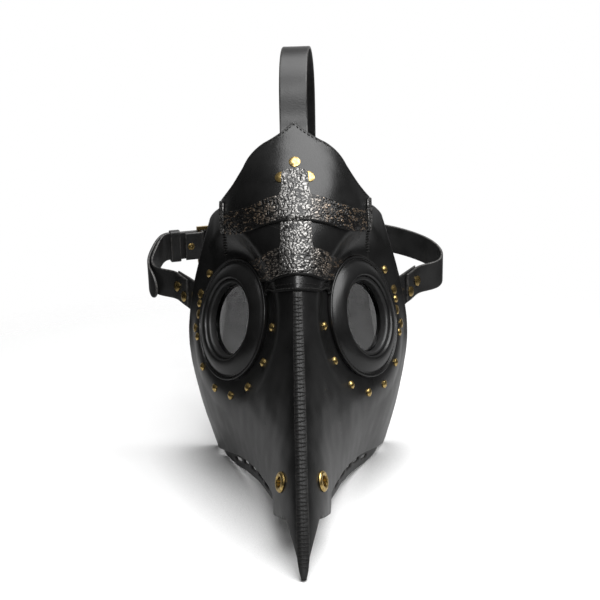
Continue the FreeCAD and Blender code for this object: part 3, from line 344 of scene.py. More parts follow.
def sheet_places(loops, spacing, edge_radius):
    """Places of a sheet's vertices (loops first), their distance to the edge, and its triangles."""
    insets = [edge_radius * share for share in (0.14, 0.5, 1.0)]
    border, rims = [], []
    for index, loop in enumerate(loops):
        points, inward, _ = loop_inward(loop, index > 0)
        border.append(points)
        for inset in insets:
            rims.append((moved_places(loop, inward * inset), inset))
    dense = []
    for points in border:
        following = np.roll(points, -1, axis=0)
        for share in (0.0, 0.25, 0.5, 0.75):
            dense.append(points * (1 - share) + following * share)
    dense = np.vstack(dense)
    tree = kdtree.KDTree(len(dense))
    for k, point in enumerate(dense):
        tree.insert(point, k)
    tree.balance()

    def edge_distance(places):
        return np.array([tree.find(point)[2] for point in form_frame(places)[0]])

    plane_loops = [loop * DOMAIN for loop in loops]
    places = [np.vstack(loops)]
    distance = [np.zeros(len(places[0]))]
    for rim, inset in rims:
        found = edge_distance(rim)
        keep = (found > inset * 0.86) & inside_loops(rim * DOMAIN, plane_loops)
        places.append(rim[keep])
        distance.append(np.full(keep.sum(), inset))
    grid = grid_places(loops, spacing)
    grid = grid[inside_loops(grid * DOMAIN, plane_loops)]
    found = edge_distance(grid)
    keep = found > edge_radius + spacing * 0.45
    places.append(grid[keep])
    distance.append(found[keep])
    places = np.vstack(places)
    distance = np.concatenate(distance)
    edges, start = [], 0
    for loop in loops:
        edges += [(start + k, start + (k + 1) % len(loop)) for k in range(len(loop))]
        start += len(loop)
    plane = places * DOMAIN
    result = geometry.delaunay_2d_cdt([Vector((a, b)) for b, a in plane], edges, [], 1, 1e-7)
    origin = [ids[0] if ids else -1 for ids in result[3]]
    triangles = np.array([[origin[k] for k in face] for face in result[2] if len(face) == 3])
    triangles = triangles[(triangles >= 0).all(1)]
    middle = plane[triangles].mean(1)
    triangles = triangles[inside_loops(middle, plane_loops)]
    return places, distance, triangles, edges


def placed(name, data):
    """New object in the scene."""
    item = bpy.data.objects.new(name, data)
    bpy.context.scene.collection.objects.link(item)
    return item


def mesh_object(name, vertices, faces):
    """Smooth-shaded mesh from vertices in millimetres."""
    data = bpy.data.meshes.new(name)
    data.from_pydata(((np.asarray(vertices) + ROW_SHIFT) * MM).tolist(), [],
                     [list(map(int, face)) for face in faces])
    data.validate()
    data.update()
    data.polygons.foreach_set("use_smooth", [True] * len(data.polygons))
    return placed(name, data)


def cleaned(item, merge=0.0):
    """Joins vertices closer than `merge` metres, turns the faces outwards, drops loose vertices."""
    work = bmesh.new()
    work.from_mesh(item.data)
    if merge:
        bmesh.ops.remove_doubles(work, verts=work.verts, dist=merge)
    bmesh.ops.recalc_face_normals(work, faces=work.faces)
    loose = [vertex for vertex in work.verts if not vertex.link_faces]
    bmesh.ops.delete(work, geom=loose, context="VERTS")
    work.to_mesh(item.data)
    work.free()
    return item


def set_attribute(item, name, values):
    attribute = item.data.attributes.new(name, "FLOAT", "POINT")
    attribute.data.foreach_set("value", np.asarray(values, np.float32))


def edge_drop(distance, radius):
    """How far a rounded edge has fallen below the face at a distance from the edge."""
    short = np.clip(radius - distance, 0, radius)
    return radius - np.sqrt(np.maximum(radius * radius - short * short, 0))


def leather_sheet(name, loops, low, high, spacing=1.3, edge_radius=None, relief=None, drape=None):
    """Closed leather sheet between two offsets of the form, with rounded edges.

    relief(points, distance) may add a height to the outer face and give a named attribute.
    drape(points) moves both faces, where the sheet follows what lies under it."""
    thickness = high - low
    radius = edge_radius or thickness * 0.46
    places, distance, triangles, edges = sheet_places(loops, spacing, radius)
    points, _, _, normal = form_frame(places)
    outer_height = high - edge_drop(distance, radius)
    extra = None
    if relief:
        height, extra = relief(points, distance)
        outer_height = outer_height + height
    back_radius = min(radius, thickness * 0.46)
    inner_height = low + edge_drop(distance, back_radius)
    if drape:
        outer_height = outer_height + drape(points)
        inner_height = inner_height + drape(points)
    outer = points + normal * outer_height[:, None]
    inner = points + normal * inner_height[:, None]
    count = len(points)
    across = np.cross(outer[triangles[:, 1]] - outer[triangles[:, 0]],
                      outer[triangles[:, 2]] - outer[triangles[:, 0]])
    wrong = (across * normal[triangles[:, 0]]).sum(1) < 0
    triangles[wrong] = triangles[wrong][:, ::-1]
    faces = triangles.tolist() + (triangles[:, ::-1] + count).tolist()
    directed = set()
    for a, b, c in triangles.tolist():
        directed.update(((a, b), (b, c), (c, a)))
    for a, b in edges:
        if (a, b) in directed:
            faces.append((b, a, a + count, b + count))
        elif (b, a) in directed:
            faces.append((a, b, b + count, a + count))
    item = mesh_object(name, np.vstack([outer, inner]), faces)
    set_attribute(item, "edge", np.r_[distance, distance])
    set_attribute(item, "inside", np.r_[np.zeros(count), np.ones(count)])
    if extra:
        key, values = extra
        set_attribute(item, key, np.r_[values, np.zeros(count)])
    return item


def tubes(name, paths, radius, sides=7, taper=0.6):
    """Threads: one closed tube along each path; all paths have the same number of points."""
    paths = np.asarray(paths, float)
    count, length, _ = paths.shape
    tangent = unit(np.gradient(paths, axis=1))
    rough_side = unit(np.cross(tangent, unit(paths[:, :1] - paths[:, -1:])
                               + np.array((0.13, 0.21, 0.37))))
    other = np.cross(tangent, rough_side)
    swell = 1 - taper * (np.abs(np.linspace(-1, 1, length)) ** 3)
    angles = np.linspace(0, 2 * math.pi, sides, endpoint=False)
    circle = (rough_side[:, :, None] * np.cos(angles)[None, None, :, None]
              + other[:, :, None] * np.sin(angles)[None, None, :, None])
    rings = paths[:, :, None] + circle * (radius * swell)[None, :, None, None]
    vertices = rings.reshape(-1, 3)
    faces = []
    for item in range(count):
        base = item * length * sides
        for row in range(length - 1):
            for k in range(sides):
                a = base + row * sides + k
                b = base + row * sides + (k + 1) % sides
                faces.append((a, b, b + sides, a + sides))
        faces.append(tuple(base + k for k in reversed(range(sides))))
        faces.append(tuple(base + (length - 1) * sides + k for k in range(sides)))
    return mesh_object(name, vertices, faces)


def cut_path(points, directions, pitch, share):
    """Splits a polyline into stitches: start, direction and length along it for each one."""
    lengths = run_lengths(points)
    count = max(int(lengths[-1] / pitch), 1)
    pitch = lengths[-1] / count
    local = np.linspace(0, 1, 7)
    starts = (np.arange(count) + 0.5 * (1 - share)) * pitch
    at = starts[:, None] + local[None, :] * pitch * share
    return sampled(at, lengths, points), unit(sampled(at, lengths, directions)), local


STITCH_LIFT = 0.16
STITCH_DIP = 0.75


def running_stitches(name, points, normals, pitch, share, radius):
    """Row of stitches that lie on the leather and dip into it at their ends."""
    spots, normal, local = cut_path(points, normals, pitch, share)
    height = STITCH_LIFT - STITCH_DIP * np.abs(2 * local - 1) ** 6
    return tubes(name, spots + normal * height[None, :, None], radius)


def row_on_form(places, height):
    points, _, _, normal = form_frame(places)
    return points + normal * height, normal


# ---------------------------------------------------------------- materials

class Recipe:
    """The nodes of a material, or of the world, under construction."""

    def __init__(self, name, kind="materials"):
        self.owner = getattr(bpy.data, kind).new(name)
        self.owner.use_nodes = True
        self.tree = self.owner.node_tree
        self.tree.nodes.clear()
        self.place = self.add("ShaderNodeTexCoord").outputs["Object"]

    def add(self, kind, inputs=None, **settings):
        node = self.tree.nodes.new(kind)
        for key, value in settings.items():
            setattr(node, key, value)
        for key, value in (inputs or {}).items():
            if isinstance(value, bpy.types.NodeSocket):
                self.tree.links.new(value, node.inputs[key])
            else:
                node.inputs[key].default_value = value
        return node

    def noise(self, scale, detail=4.0, rough=0.55, vector=None):
        return self.add("ShaderNodeTexNoise", {"Scale": scale, "Detail": detail, "Roughness": rough,
                                               "Vector": vector or self.place}).outputs["Fac"]

    def cells(self, scale):
        inputs = {"Scale": scale, "Vector": self.place}
        return self.add("ShaderNodeTexVoronoi", inputs).outputs["Distance"]

    def stretched(self, x, y, z):
        inputs = {"Vector": self.place, "Scale": (x, y, z)}
        return self.add("ShaderNodeMapping", inputs).outputs["Vector"]

    def attribute(self, name):
        return self.add("ShaderNodeAttribute", attribute_name=name).outputs["Fac"]

    def math(self, operation, a, b=0.0, clamp=False):
        inputs = {0: a, 1: b}
        return self.add("ShaderNodeMath", inputs, operation=operation, use_clamp=clamp).outputs[0]

    def span(self, value, low, high, start=0.0, end=1.0):
        node = self.add("ShaderNodeMapRange", {"Value": value, "From Min": low, "From Max": high,
                                               "To Min": start, "To Max": end})
        return node.outputs["Result"]

    def mix(self, share, a, b):
        values = [value + (1.0,) if isinstance(value, tuple) else value for value in (a, b)]
        node = self.add("ShaderNodeMix", {0: share, 6: values[0], 7: values[1]}, data_type="RGBA")
        return node.outputs[2]

    def bump(self, height, depth, normal=None, strength=1.0):
        inputs = {"Height": height, "Distance": depth, "Strength": strength}
        if normal:
            inputs["Normal"] = normal
        return self.add("ShaderNodeBump", inputs).outputs["Normal"]

    def finish(self, **inputs):
        named = {key.replace("_", " "): value for key, value in inputs.items()}
        shader = self.add("ShaderNodeBsdfPrincipled", named)
        return self.close(shader.outputs[0])

    def close(self, surface, kind="ShaderNodeOutputMaterial"):
        self.add(kind, {"Surface": surface})
        return self.owner


def leather(name, dark, light, rough, grain=0.00005, wear=0.045, soft=0.00008, specular=0.5):
    """Black leather: pored grain, soft unevenness, scuffs, burnished edges, raw flesh side."""
    r = Recipe(name)
    pores = r.cells(950.0)
    pebble = r.noise(1500.0, 3.0, 0.6)
    broad = r.noise(55.0, 3.0, 0.5)
    scuffs = r.noise(260.0, 5.0, 0.7, r.stretched(1.0, 1.0, 0.25))
    edge = r.span(r.attribute("edge"), 0.0, 1.3, 1.0, 0.0)
    worn = r.math("MULTIPLY", edge, r.span(r.noise(320.0), 0.35, 0.6), clamp=True)
    raw = r.attribute("inside")
    tone = r.mix(r.span(broad, 0.35, 0.65), (dark,) * 3, (light,) * 3)
    tone = r.mix(worn, tone, (wear, wear * 0.96, wear * 0.92))
    tone = r.mix(raw, tone, (0.034, 0.032, 0.030))
    shine = r.span(r.math("ADD", broad, r.math("MULTIPLY", scuffs, 0.8)), 0.6, 1.2,
                   rough - 0.03, rough + 0.05)
    shine = r.math("ADD", shine, r.math("MULTIPLY", raw, 0.45), clamp=True)
    normal = r.bump(broad, soft)
    normal = r.bump(pores, grain, normal, 0.8)
    normal = r.bump(pebble, grain * 0.7, normal, 0.7)
    return r.finish(Base_Color=tone, Roughness=shine, Normal=normal,
                    Specular_IOR_Level=specular)


def crackle(name, bronze_from, bronze_to):
    """Foil-coated leather: bright plates between black cracks, bronze ones to the sides."""
    r = Recipe(name)
    flake = r.noise(900.0, 4.0, 0.7)
    side = r.add("ShaderNodeSeparateXYZ", {"Vector": r.place}).outputs["X"]
    outward = r.span(r.math("ABSOLUTE", side), bronze_from, bronze_to)
    bright = r.mix(r.span(flake, 0.3, 0.6), (0.045, 0.044, 0.042), (0.35, 0.342, 0.33))
    bronze = r.mix(r.span(flake, 0.4, 0.65), (0.10, 0.07, 0.05), (0.62, 0.47, 0.33))
    tone = r.mix(outward, bright, bronze)
    threshold = r.span(outward, 0.0, 1.0, 0.25, 0.62)
    cover = r.math("MULTIPLY", r.math("SUBTRACT", r.attribute("crack"), threshold), 4.0, clamp=True)
    tone = r.mix(cover, (0.004, 0.0037, 0.0035), tone)
    shine = r.span(flake, 0.3, 0.7, 0.46, 0.26)
    normal = r.bump(flake, 0.00012)
    return r.finish(Base_Color=tone, Metallic=r.math("MULTIPLY", cover, 0.9), Roughness=shine,
                    Normal=normal)


def brass():
    """Antique brass: warm rubbed tops, brown tarnish in patches and hollows."""
    r = Recipe("antique_brass")
    patches = r.noise(420.0, 5.0, 0.65)
    spots = r.noise(1800.0, 3.0, 0.6)
    hollow = r.add("ShaderNodeNewGeometry").outputs["Pointiness"]
    tarnish = r.math("MULTIPLY", r.span(patches, 0.42, 0.7), 0.85, clamp=True)
    tarnish = r.math("ADD", tarnish, r.span(hollow, 0.5, 0.44), clamp=True)
    tone = r.mix(tarnish, (0.72, 0.52, 0.20), (0.11, 0.065, 0.025))
    shine = r.math("ADD", r.span(patches, 0.3, 0.7, 0.14, 0.32), r.math("MULTIPLY", spots, 0.1))
    return r.finish(Base_Color=tone, Metallic=1.0, Roughness=shine, Normal=r.bump(spots, 0.00002))


def thread():
    """Waxed black thread with a tight twist."""
    r = Recipe("waxed_thread")
    twist = r.add("ShaderNodeTexWave", {"Vector": r.place, "Scale": 900.0, "Distortion": 2.0},
                  bands_direction="DIAGONAL").outputs["Fac"]
    tone = r.mix(r.noise(300.0), (0.006, 0.006, 0.006), (0.022, 0.021, 0.020))
    return r.finish(Base_Color=tone, Roughness=r.span(twist, 0, 1, 0.45, 0.62),
                    Normal=r.bump(twist, 0.00008), Specular_IOR_Level=0.22)


def tube_black():
    """Black moulded tube with faint turning lines."""
    r = Recipe("lens_tube_black")
    speck = r.noise(700.0, 4.0)
    turned = r.noise(1600.0, 2.0, 0.5, r.stretched(0.2, 0.2, 1.0))
    tone = r.mix(speck, (0.006, 0.006, 0.006), (0.020, 0.020, 0.020))
    return r.finish(Base_Color=tone, Roughness=r.span(speck, 0.3, 0.7, 0.34, 0.5),
                    Normal=r.bump(turned, 0.00004))


def smoked_lens():
    """Tinted lens: dims what is behind it, with a faint haze and a glossy face."""
    r = Recipe("smoked_lens")
    haze = r.noise(90.0, 3.0)
    tint = r.mix(r.span(haze, 0.3, 0.7), (0.345, 0.345, 0.345), (0.36, 0.36, 0.36))
    through = r.add("ShaderNodeBsdfTransparent", {"Color": tint}).outputs[0]
    gloss = r.add("ShaderNodeBsdfGlossy", {"Color": (0.9, 0.9, 0.9, 1.0),
                                           "Roughness": r.span(haze, 0.3, 0.7, 0.06, 0.12),
                                           "Normal": r.bump(haze, 0.0002)}).outputs[0]
    rim = r.add("ShaderNodeFresnel", {"IOR": 1.35}).outputs[0]
    mixed = r.add("ShaderNodeMixShader", {0: r.math("MULTIPLY", rim, 0.5), 1: through, 2: gloss})
    return r.close(mixed.outputs[0])


FLOOR_BOUNCE = 0.42


def paper_floor():
    """White paper that fades into the white background a little way off, with a painted contact
    shadow.
    """
    r = Recipe("studio_floor")
    tone = r.mix(r.noise(3.0), (0.93, 0.93, 0.93), (0.95, 0.95, 0.95))
    # Painted shadow: for camera rays, ambient occlusion darkens the paper towards 0.10 next to the
    # mask and inside its footprint.
    painted_shadow_ao = r.add("ShaderNodeAmbientOcclusion", {"Distance": 0.06}, samples=6).outputs["AO"]
    tone = r.mix(painted_shadow_ao, (0.10, 0.10, 0.10), tone)
    watched = r.add("ShaderNodeLightPath").outputs["Is Camera Ray"]
    tone = r.mix(watched, (FLOOR_BOUNCE,) * 3, tone)
    paper = r.add("ShaderNodeBsdfDiffuse", {"Color": tone}).outputs[0]
    gone = r.add("ShaderNodeBsdfTransparent").outputs[0]
    reach = r.add("ShaderNodeVectorMath", {0: r.place}, operation="LENGTH").outputs["Value"]
    mixed = r.add("ShaderNodeMixShader", {0: r.span(reach, 0.30, 0.62), 1: paper, 2: gone})
    return r.close(mixed.outputs[0])


SHELL_LEATHER = leather("shell_leather", 0.005, 0.009, 0.30)
PANEL_LEATHER = leather("panel_leather", 0.005, 0.009, 0.29)
LINING_LEATHER = leather("lining_leather", 0.010, 0.016, 0.50)
RING_LEATHER = leather("ring_leather", 0.005, 0.009, 0.30, grain=0.00004)
STRAP_LEATHER = leather("strap_leather", 0.009, 0.016, 0.38, wear=0.07, soft=0.00006)
SEAM_LEATHER = leather("seam_leather", 0.003, 0.006, 0.52, grain=0.00007)
# Rolled edges: darker and less shiny than the panels. They are partly the real rolled edge and
# partly a painted shadow line under the band edges.
ROLL_LEATHER_AND_PAINTED_SHADE = leather("roll_leather_and_painted_shade", 0.002, 0.004, 0.62, grain=0.00005, specular=0.2)
CRACKLE = crackle("crackle_foil", 0.010, 0.030)
BINDING_FOIL = crackle("crackle_foil_edge", 1.0, 2.0)
BRASS = brass()
THREAD = thread()
TUBE_BLACK = tube_black()
LENS = smoked_lens()


def stand_in(item, material, nodes=(), body="mask"):
    """Gives a piece its material and its body, and hides the CAD nodes it stands for."""
    item.data.materials.clear()
    item.data.materials.append(material)
    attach(item, body)
    if nodes:
        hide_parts(*nodes)
    return item


SIDES = (("right", 1), ("left", -1))


def both_sides(places):
    """Right-hand places and their mirror images on the left."""
    mirrored = places.copy()
    mirrored[:, 1] = 1 - mirrored[:, 1]
    return (("right", places), ("left", mirrored))


# ---------------------------------------------------------------- outlines, as in the CAD part

# Front outlines are (x, z) and side outlines (y, z), in millimetres.
GAP = 0.05
SHELL = 2.2
PANEL = 1.0
FOIL = 0.9
STRAP = 2.2
CHEEK_FOOT = (60, 1)
RIM_ARC = ((57, 214), (65, 110), CHEEK_FOOT)
LOWER_EDGE = [(20, 12), (-24, 25), (-60, 31), (-90, 33.5), (-112, 34), (-114, 18.5)]
HOOK_ARC = ((-148, 31.5), (-162.5, 20.0), (-175.5, 2.5))
CENTRE_GAP = 0.1
TIP_HEIGHT = 2.5
CREST_HEIGHT = 212
CREST_SHOULDER = [(40, 221), (57, 222.8), (67, 213), (76, 198.5), (100, 190), (140, 184)]
EYE_HOLE_RADIUS = 33.4
NOSTRIL_FRONT = (15.1, 51.5)
NOSTRIL_HOLE_RADIUS = 5.0


def level(step):
    """Height above the shell of the underside of a panel layer."""
    return GAP + step * (PANEL + GAP)


def around_circle(centre_place, radius, count):
    """Circle on the form round a place, reached in a few short moves."""
    places = np.repeat(centre_place[None], count, 0)
    _, _, along_round, normal = form_frame(places)
    sideways = unit(along_round)
    shift = radius * turned(full_turn(count), sideways, np.cross(normal, sideways))
    moves = 4
    for _ in range(moves):
        places = moved_places(places, shift / moves)
    return places


def eye_circle(radius, count):
    points = EYE_CENTRE + radius * turned(full_turn(count), EYE_SIDEWAYS, EYE_UPWARDS)
    return solve_places(points[:, FRONT], FRONT)


def rim_y(height):
    arc = arc_through(*RIM_ARC, count=80)
    return float(np.interp(height, arc[::-1, 1], arc[::-1, 0]))


PLACES_APART = 0.0003


def shell_outline():
    """Edge of the right shell: ridge, top, rim, lower edge, beak notch, tip."""
    ridge = line_to([(CENTRE_GAP, TIP_HEIGHT), (CENTRE_GAP, CREST_HEIGHT)], 3.0)
    ridge = solve_places(ridge, FRONT)
    crest = [(CENTRE_GAP, CREST_HEIGHT)] + CREST_SHOULDER
    top = solve_places(line_to(softened(crest, 3), 2.0), FRONT)
    points = form(top)[0]
    within = [point[1] <= rim_y(point[2]) for point in points]
    top = top[:within.index(False)]
    meeting = form(top[-1:])[0][0, 2]
    rim = arc_through(*RIM_ARC, count=70)
    rim = solve_places(rim[rim[:, 1] < meeting - 1.0], SIDE)
    cheek = np.vstack([arc_through(CHEEK_FOOT, (42, 5), LOWER_EDGE[0], 16), LOWER_EDGE[1:]])
    lower = np.vstack([softened(cheek[:-1], 3), cheek[-1:], arc_through(*HOOK_ARC, count=20)])
    bottom = solve_places(line_to(lower, 2.0), SIDE)
    return joined(ridge, top, rim, bottom, apart=PLACES_APART)


NOSTRIL = solve_places([NOSTRIL_FRONT], FRONT)[0]


def build_shells():
    outline = both_sides(even_loop(shell_outline(), 1.4))
    eyes = both_sides(eye_circle(EYE_HOLE_RADIUS, 130))
    vents = both_sides(around_circle(NOSTRIL, NOSTRIL_HOLE_RADIUS, 36))
    for (side, edge), (_, eye), (_, vent) in zip(outline, eyes, vents):
        loops = [edge, eye, vent]
        shell = leather_sheet("leather_shell_" + side, loops, -SHELL, 0.0, 1.6, 0.75)
        stand_in(shell, SHELL_LEATHER, ["face_shell_" + side])


RING_CLEARANCE = 49.25


def clear_of_rings(places):
    """Moves outline points that would run under an eye ring out to its edge."""
    places = places.copy()
    for _ in range(6):
        points = form(places)[0]
        side = np.where(points[:, :1] >= 0, 1.0, -1.0) * np.array((1, 0, 0)) + np.array((0, 1, 1))
        arm = points * side - EYE_CENTRE
        flat = arm - (arm @ EYE_AXIS)[:, None] * EYE_AXIS
        radius = np.linalg.norm(flat, axis=1)
        lack = np.clip(RING_CLEARANCE - radius, 0, None)
        shift = flat / np.maximum(radius, 1e-6)[:, None] * lack[:, None] * side
        places = np.where(lack[:, None] > 0.01, moved_places(places, shift), places)
    return places


PANEL_HALF = 56.8
PANEL_FOOT = 160
SHOULDER = 226
PEAK_EDGE = [arc_through((PANEL_HALF, SHOULDER), (46.5, 240.5), (38, 254), 14),
             arc_through((38, 254), (31, 264.5), (22, 272), 12),
             arc_through((22, 272), (10, 279.3), (0, 287), 14)]


def front_arch(end, middle, count=50):
    """Arch from a point, over the middle at a height, to the point's mirror image."""
    x, z = end
    return arc_through((x, z), (0, middle), (-x, z), count)


def kneed_arch(end, knee, middle):
    """Arch whose ends run out straight to the panel's sides, from right to left."""
    return np.vstack([(PANEL_HALF, end), front_arch(knee, middle), (-PANEL_HALF, end)])


def opposite(points):
    """Mirror image of front points, in the opposite order."""
    return [(-x, z) for x, z in reversed(points)]


UPPER_BAND_END = 201.5
UPPER_BAND_LOW = kneed_arch(UPPER_BAND_END, (32, 212.8), 222.5)
UPPER_BAND_HIGH = kneed_arch(218.3, (32, 229.6), 239.0)
LOWER_BAND_FOOT = (22, 172.2)
LOWER_BAND_HEAD = (31.5, 184.3)
LOWER_BAND_LOW = front_arch(LOWER_BAND_FOOT, 186.6)
LOWER_BAND_HIGH = front_arch(LOWER_BAND_HEAD, 205)
BROW_END = (26, 158)
BROW_ARCH = front_arch((-26, 158), 175.6, 60)


def front_loop(*parts, gap=1.2):
    corners = joined(*[line_to(part, 1.5) for part in parts])
    return even_loop(clear_of_rings(solve_places(corners, FRONT)), gap)


def peak_line(grow=0.0):
    """The ogee top edge from the right shoulder to the left one."""
    right = np.vstack(PEAK_EDGE)
    left = right[::-1] * np.array((-1, 1))
    line = np.vstack([right, left])
    out = np.sign(line[:, :1]) * np.array((1, 0)) * grow * 0.5 + np.array((0, grow))
    return line + out


def panel_sheet(name, loop, step, node):
    """One layer of the forehead, `step` layers above the shell."""
    sheet = leather_sheet(name, [loop], level(step), level(step) + PANEL, 1.3, 0.48)
    stand_in(sheet, PANEL_LEATHER, [node])


def build_forehead():
    half = PANEL_HALF
    side = half - 0.6
    flap_side = [(side, PANEL_FOOT), (side, 182)]
    foot = [BROW_END, flap_side[0]]
    flap = front_loop(flap_side + [(0, 200)] + opposite(flap_side), opposite(foot), BROW_ARCH, foot)
    panel_sheet("brow_flap_leather", flap, 0, "brow_flap")
    lower_side = [(half, PANEL_FOOT), (half, 215)]
    foot = [LOWER_BAND_FOOT, lower_side[0]]
    lower = front_loop(lower_side + [(0, 231)] + opposite(lower_side) + opposite(foot)[1:],
                       LOWER_BAND_LOW[::-1], foot)
    panel_sheet("lower_panel_leather", lower, 1, "forehead_panel_lower")
    upper_side = [(half, UPPER_BAND_END), (half, SHOULDER)]
    upper = front_loop(upper_side, peak_line(), opposite(upper_side), UPPER_BAND_LOW[::-1])
    panel_sheet("upper_panel_leather", upper, 2, "forehead_panel_upper")
    lining_side = [(half + 0.4, 218), (half + 0.4, SHOULDER)]
    lining_low = [(-56.5, 224.2), (-40, 221.6), (0, 212.6)]
    lining = front_loop(lining_side, peak_line(0.6), opposite(lining_side),
                        lining_low + opposite(lining_low)[1:])
    item = leather_sheet("forehead_lining_leather", [lining], -SHELL, level(2) - GAP, 1.8, 0.6)
    stand_in(item, LINING_LEATHER, ["forehead_lining"])


PLATE_WIDTH = 2.5
PLATE_HEIGHT = 1.7
CRACK_DEPTH = 0.42
PLATE_LIFT = 0.24
PLATE_KINDS = 160


def crackle_relief(points, distance):
    """Irregular plates about 2 mm across with sunken cracks between them."""
    dice = np.random.default_rng(12)
    across = points[:, 0] / PLATE_WIDTH + 0.35 * plane_waves(points, 9, 5)
    upwards = (points[:, 2] + 0.35 * points[:, 1]) / PLATE_HEIGHT + 0.35 * plane_waves(points, 7, 6)
    spread = np.c_[across, upwards]
    jitter = dice.uniform(-0.46, 0.46, (PLATE_KINDS, PLATE_KINDS, 2))
    tone = dice.uniform(0, 1, (PLATE_KINDS, PLATE_KINDS))
    cell = np.floor(spread).astype(int)
    nearest = np.full(len(points), 9.0)
    second = np.full(len(points), 9.0)
    lift = np.zeros(len(points))
    for i in (-1, 0, 1):
        for k in (-1, 0, 1):
            corner = cell + (i, k)
            row, column = (corner % PLATE_KINDS).T
            gap = np.linalg.norm(spread - (corner + 0.5 + jitter[row, column]), axis=1)
            closer = gap < nearest
            second = np.where(closer, nearest, np.minimum(second, gap))
            lift = np.where(closer, tone[row, column], lift)
            nearest = np.where(closer, gap, nearest)
    plate = np.clip((second - nearest - 0.15) / 0.17, 0, 1)
    height = -CRACK_DEPTH * (1 - plate) + PLATE_LIFT * lift * plate
    fade = np.clip((distance - 0.2) / 0.5, 0, 1)
    return height * fade, ("crack", plate * (0.35 + 0.65 * lift))


LOW_RIVETS = np.array([(10.0, 249.5), (-10.0, 249.5)])
RIVET_REACH = 4.6
RIVET_LIFT = 1.55
STRIP_STEP_HEIGHTS = (203, 206, 220.5, 223.5, 238.2, 240.8)
STRIP_STEPS = (-1.1, -2.0, -2.0, 0, 0, -1.0)


def strip_drape(points):
    """The centre strip steps down from the upper band to the panels, and rides over two rivets."""
    lift = np.interp(points[:, 2], STRIP_STEP_HEIGHTS, STRIP_STEPS)
    for place in LOW_RIVETS:
        reach = np.linalg.norm((points[:, (0, 2)] - place) * (1, 1.3), axis=1)
        lift += RIVET_LIFT * np.clip(1.5 - reach / RIVET_REACH, 0, 1) ** 0.6
    return lift


BINDING = 3.4
BINDING_FOOT = 201.6
BINDING_HEAD = 225.5
STRIP_WIDE = 10.8
STRIP_NARROW = 9.4
STRIP_FOOT = 187.6
STRIP_KNEE = 238
STRIP_NECK = 243
STRIP_HEAD = 255.5


def crackle_sheet(name, loop, step, nodes, drape=None):
    sheet = leather_sheet(name, [loop], level(step), level(step) + FOIL, 0.5, 0.35,
                          crackle_relief, drape)
    stand_in(sheet, CRACKLE, nodes)


def build_crackle():
    inner = (1 - (BINDING + 0.15) / PANEL_HALF, 1)
    band = front_loop(UPPER_BAND_HIGH * inner, (UPPER_BAND_LOW * inner)[::-1], gap=0.7)
    crackle_sheet("crackle_band_top", band, 3, ["crackle_band_upper"])
    binding_side = PANEL_HALF - BINDING
    edge = np.array([(PANEL_HALF, BINDING_FOOT), (PANEL_HALF, BINDING_HEAD),
                     (binding_side, BINDING_HEAD), (binding_side, BINDING_FOOT + 1),
                     (PANEL_HALF, BINDING_FOOT)])
    for side, flip in SIDES:
        loop = front_loop(edge * (flip, 1), gap=0.6)
        binding = leather_sheet("crackle_binding_" + side, [loop], level(3), level(4) + 0.55,
                                0.45, 0.5, crackle_relief)
        stand_in(binding, BINDING_FOIL)
    wing = [LOWER_BAND_FOOT, (50, 154.2), (50, 168.3), LOWER_BAND_HEAD]
    band = front_loop(wing, LOWER_BAND_HIGH, opposite(wing), LOWER_BAND_LOW[::-1], gap=0.7)
    crackle_sheet("crackle_band_brow", band, 2, ["crackle_band_lower"])
    head = [(STRIP_NARROW, STRIP_NECK), (STRIP_NARROW, STRIP_HEAD)]
    side = [(STRIP_WIDE, STRIP_FOOT), (STRIP_WIDE, STRIP_KNEE), head[0]]
    strip = front_loop(side, softened(head + opposite(head), 3), opposite(side),
                       opposite(side[:1]) + side[:1], gap=0.7)
    crackle_sheet("crackle_centre_strip", strip, 4, ["crackle_strip"], strip_drape)


# ---------------------------------------------------------------- ridge seam and stitches

RIDGE_STRIP = 1.3
RIDGE_HEIGHTS = (0.6, 6, 13, 40, 160, 174.7)
RIDGE_HALF_WIDTHS = (1.4, 2.73, 3.74, 3.9, 3.1, 3.1)
RUNG_PITCH = 2.45
RUNG_RADIUS = 0.6


def strip_half_width(height):
    return np.interp(height, RIDGE_HEIGHTS, RIDGE_HALF_WIDTHS)


def ridge_pucker(points, distance):
    """The strip is drawn in along the seam, and swells between the rungs."""
    wave = np.abs(np.sin(points[:, 2] * math.pi / RUNG_PITCH))
    middle = np.exp(-(points[:, 0] / 0.5) ** 2)
    fade = np.clip((distance - 0.2) / 0.8, 0, 1) * np.clip((points[:, 2] - 6) / 12, 0, 1)
    return (0.22 * wave - 0.3 * middle - 0.1) * fade, None


def build_ridge():
    heights = np.r_[np.linspace(0.7, 14, 14), np.linspace(15, 174.6, 110)]
    right = np.c_[strip_half_width(heights), heights]
    left = right[::-1] * (-1, 1)
    edges = [solve_places(edge, FRONT) for edge in (right, left)]
    loop = even_loop(joined(*edges, apart=PLACES_APART), 0.9)
    strip = leather_sheet("ridge_strip_leather", [loop], GAP, GAP + RIDGE_STRIP, 0.8, 0.6,
                          ridge_pucker)
    stand_in(strip, SEAM_LEATHER, ["ridge_seam_strip"])
    across = np.linspace(-1, 1, 7)
    lift = GAP + RIDGE_STRIP + 0.12 - 0.45 * np.abs(across) ** 5
    rungs = []
    for k, height in enumerate(np.arange(9, 172, RUNG_PITCH)):
        half = strip_half_width(height) - 0.35
        slope = 0.5 if k % 2 else -0.5
        rung = solve_places(np.c_[across * half, height + slope * across], FRONT)
        rungs.append(row_on_form(rung, lift[:, None])[0])
    stand_in(tubes("ridge_rungs", rungs, RUNG_RADIUS, taper=0.35), THREAD)


PEAK_STITCH_INSET = 2.1
WHIP_ACROSS = np.array((-2.3, -1.5, -0.5, 0.35, 0.75, 1.0)) + PANEL_HALF
WHIP_LIFT = np.array((0.0, 0.45, 0.6, 0.25, -0.9, -1.9))
WHIP_PITCH = 2.7


def stitch_row(name, row, height, pitch, share, radius):
    points, normal = row_on_form(row, height)
    stand_in(running_stitches(name, points, normal, pitch, share, radius), THREAD)


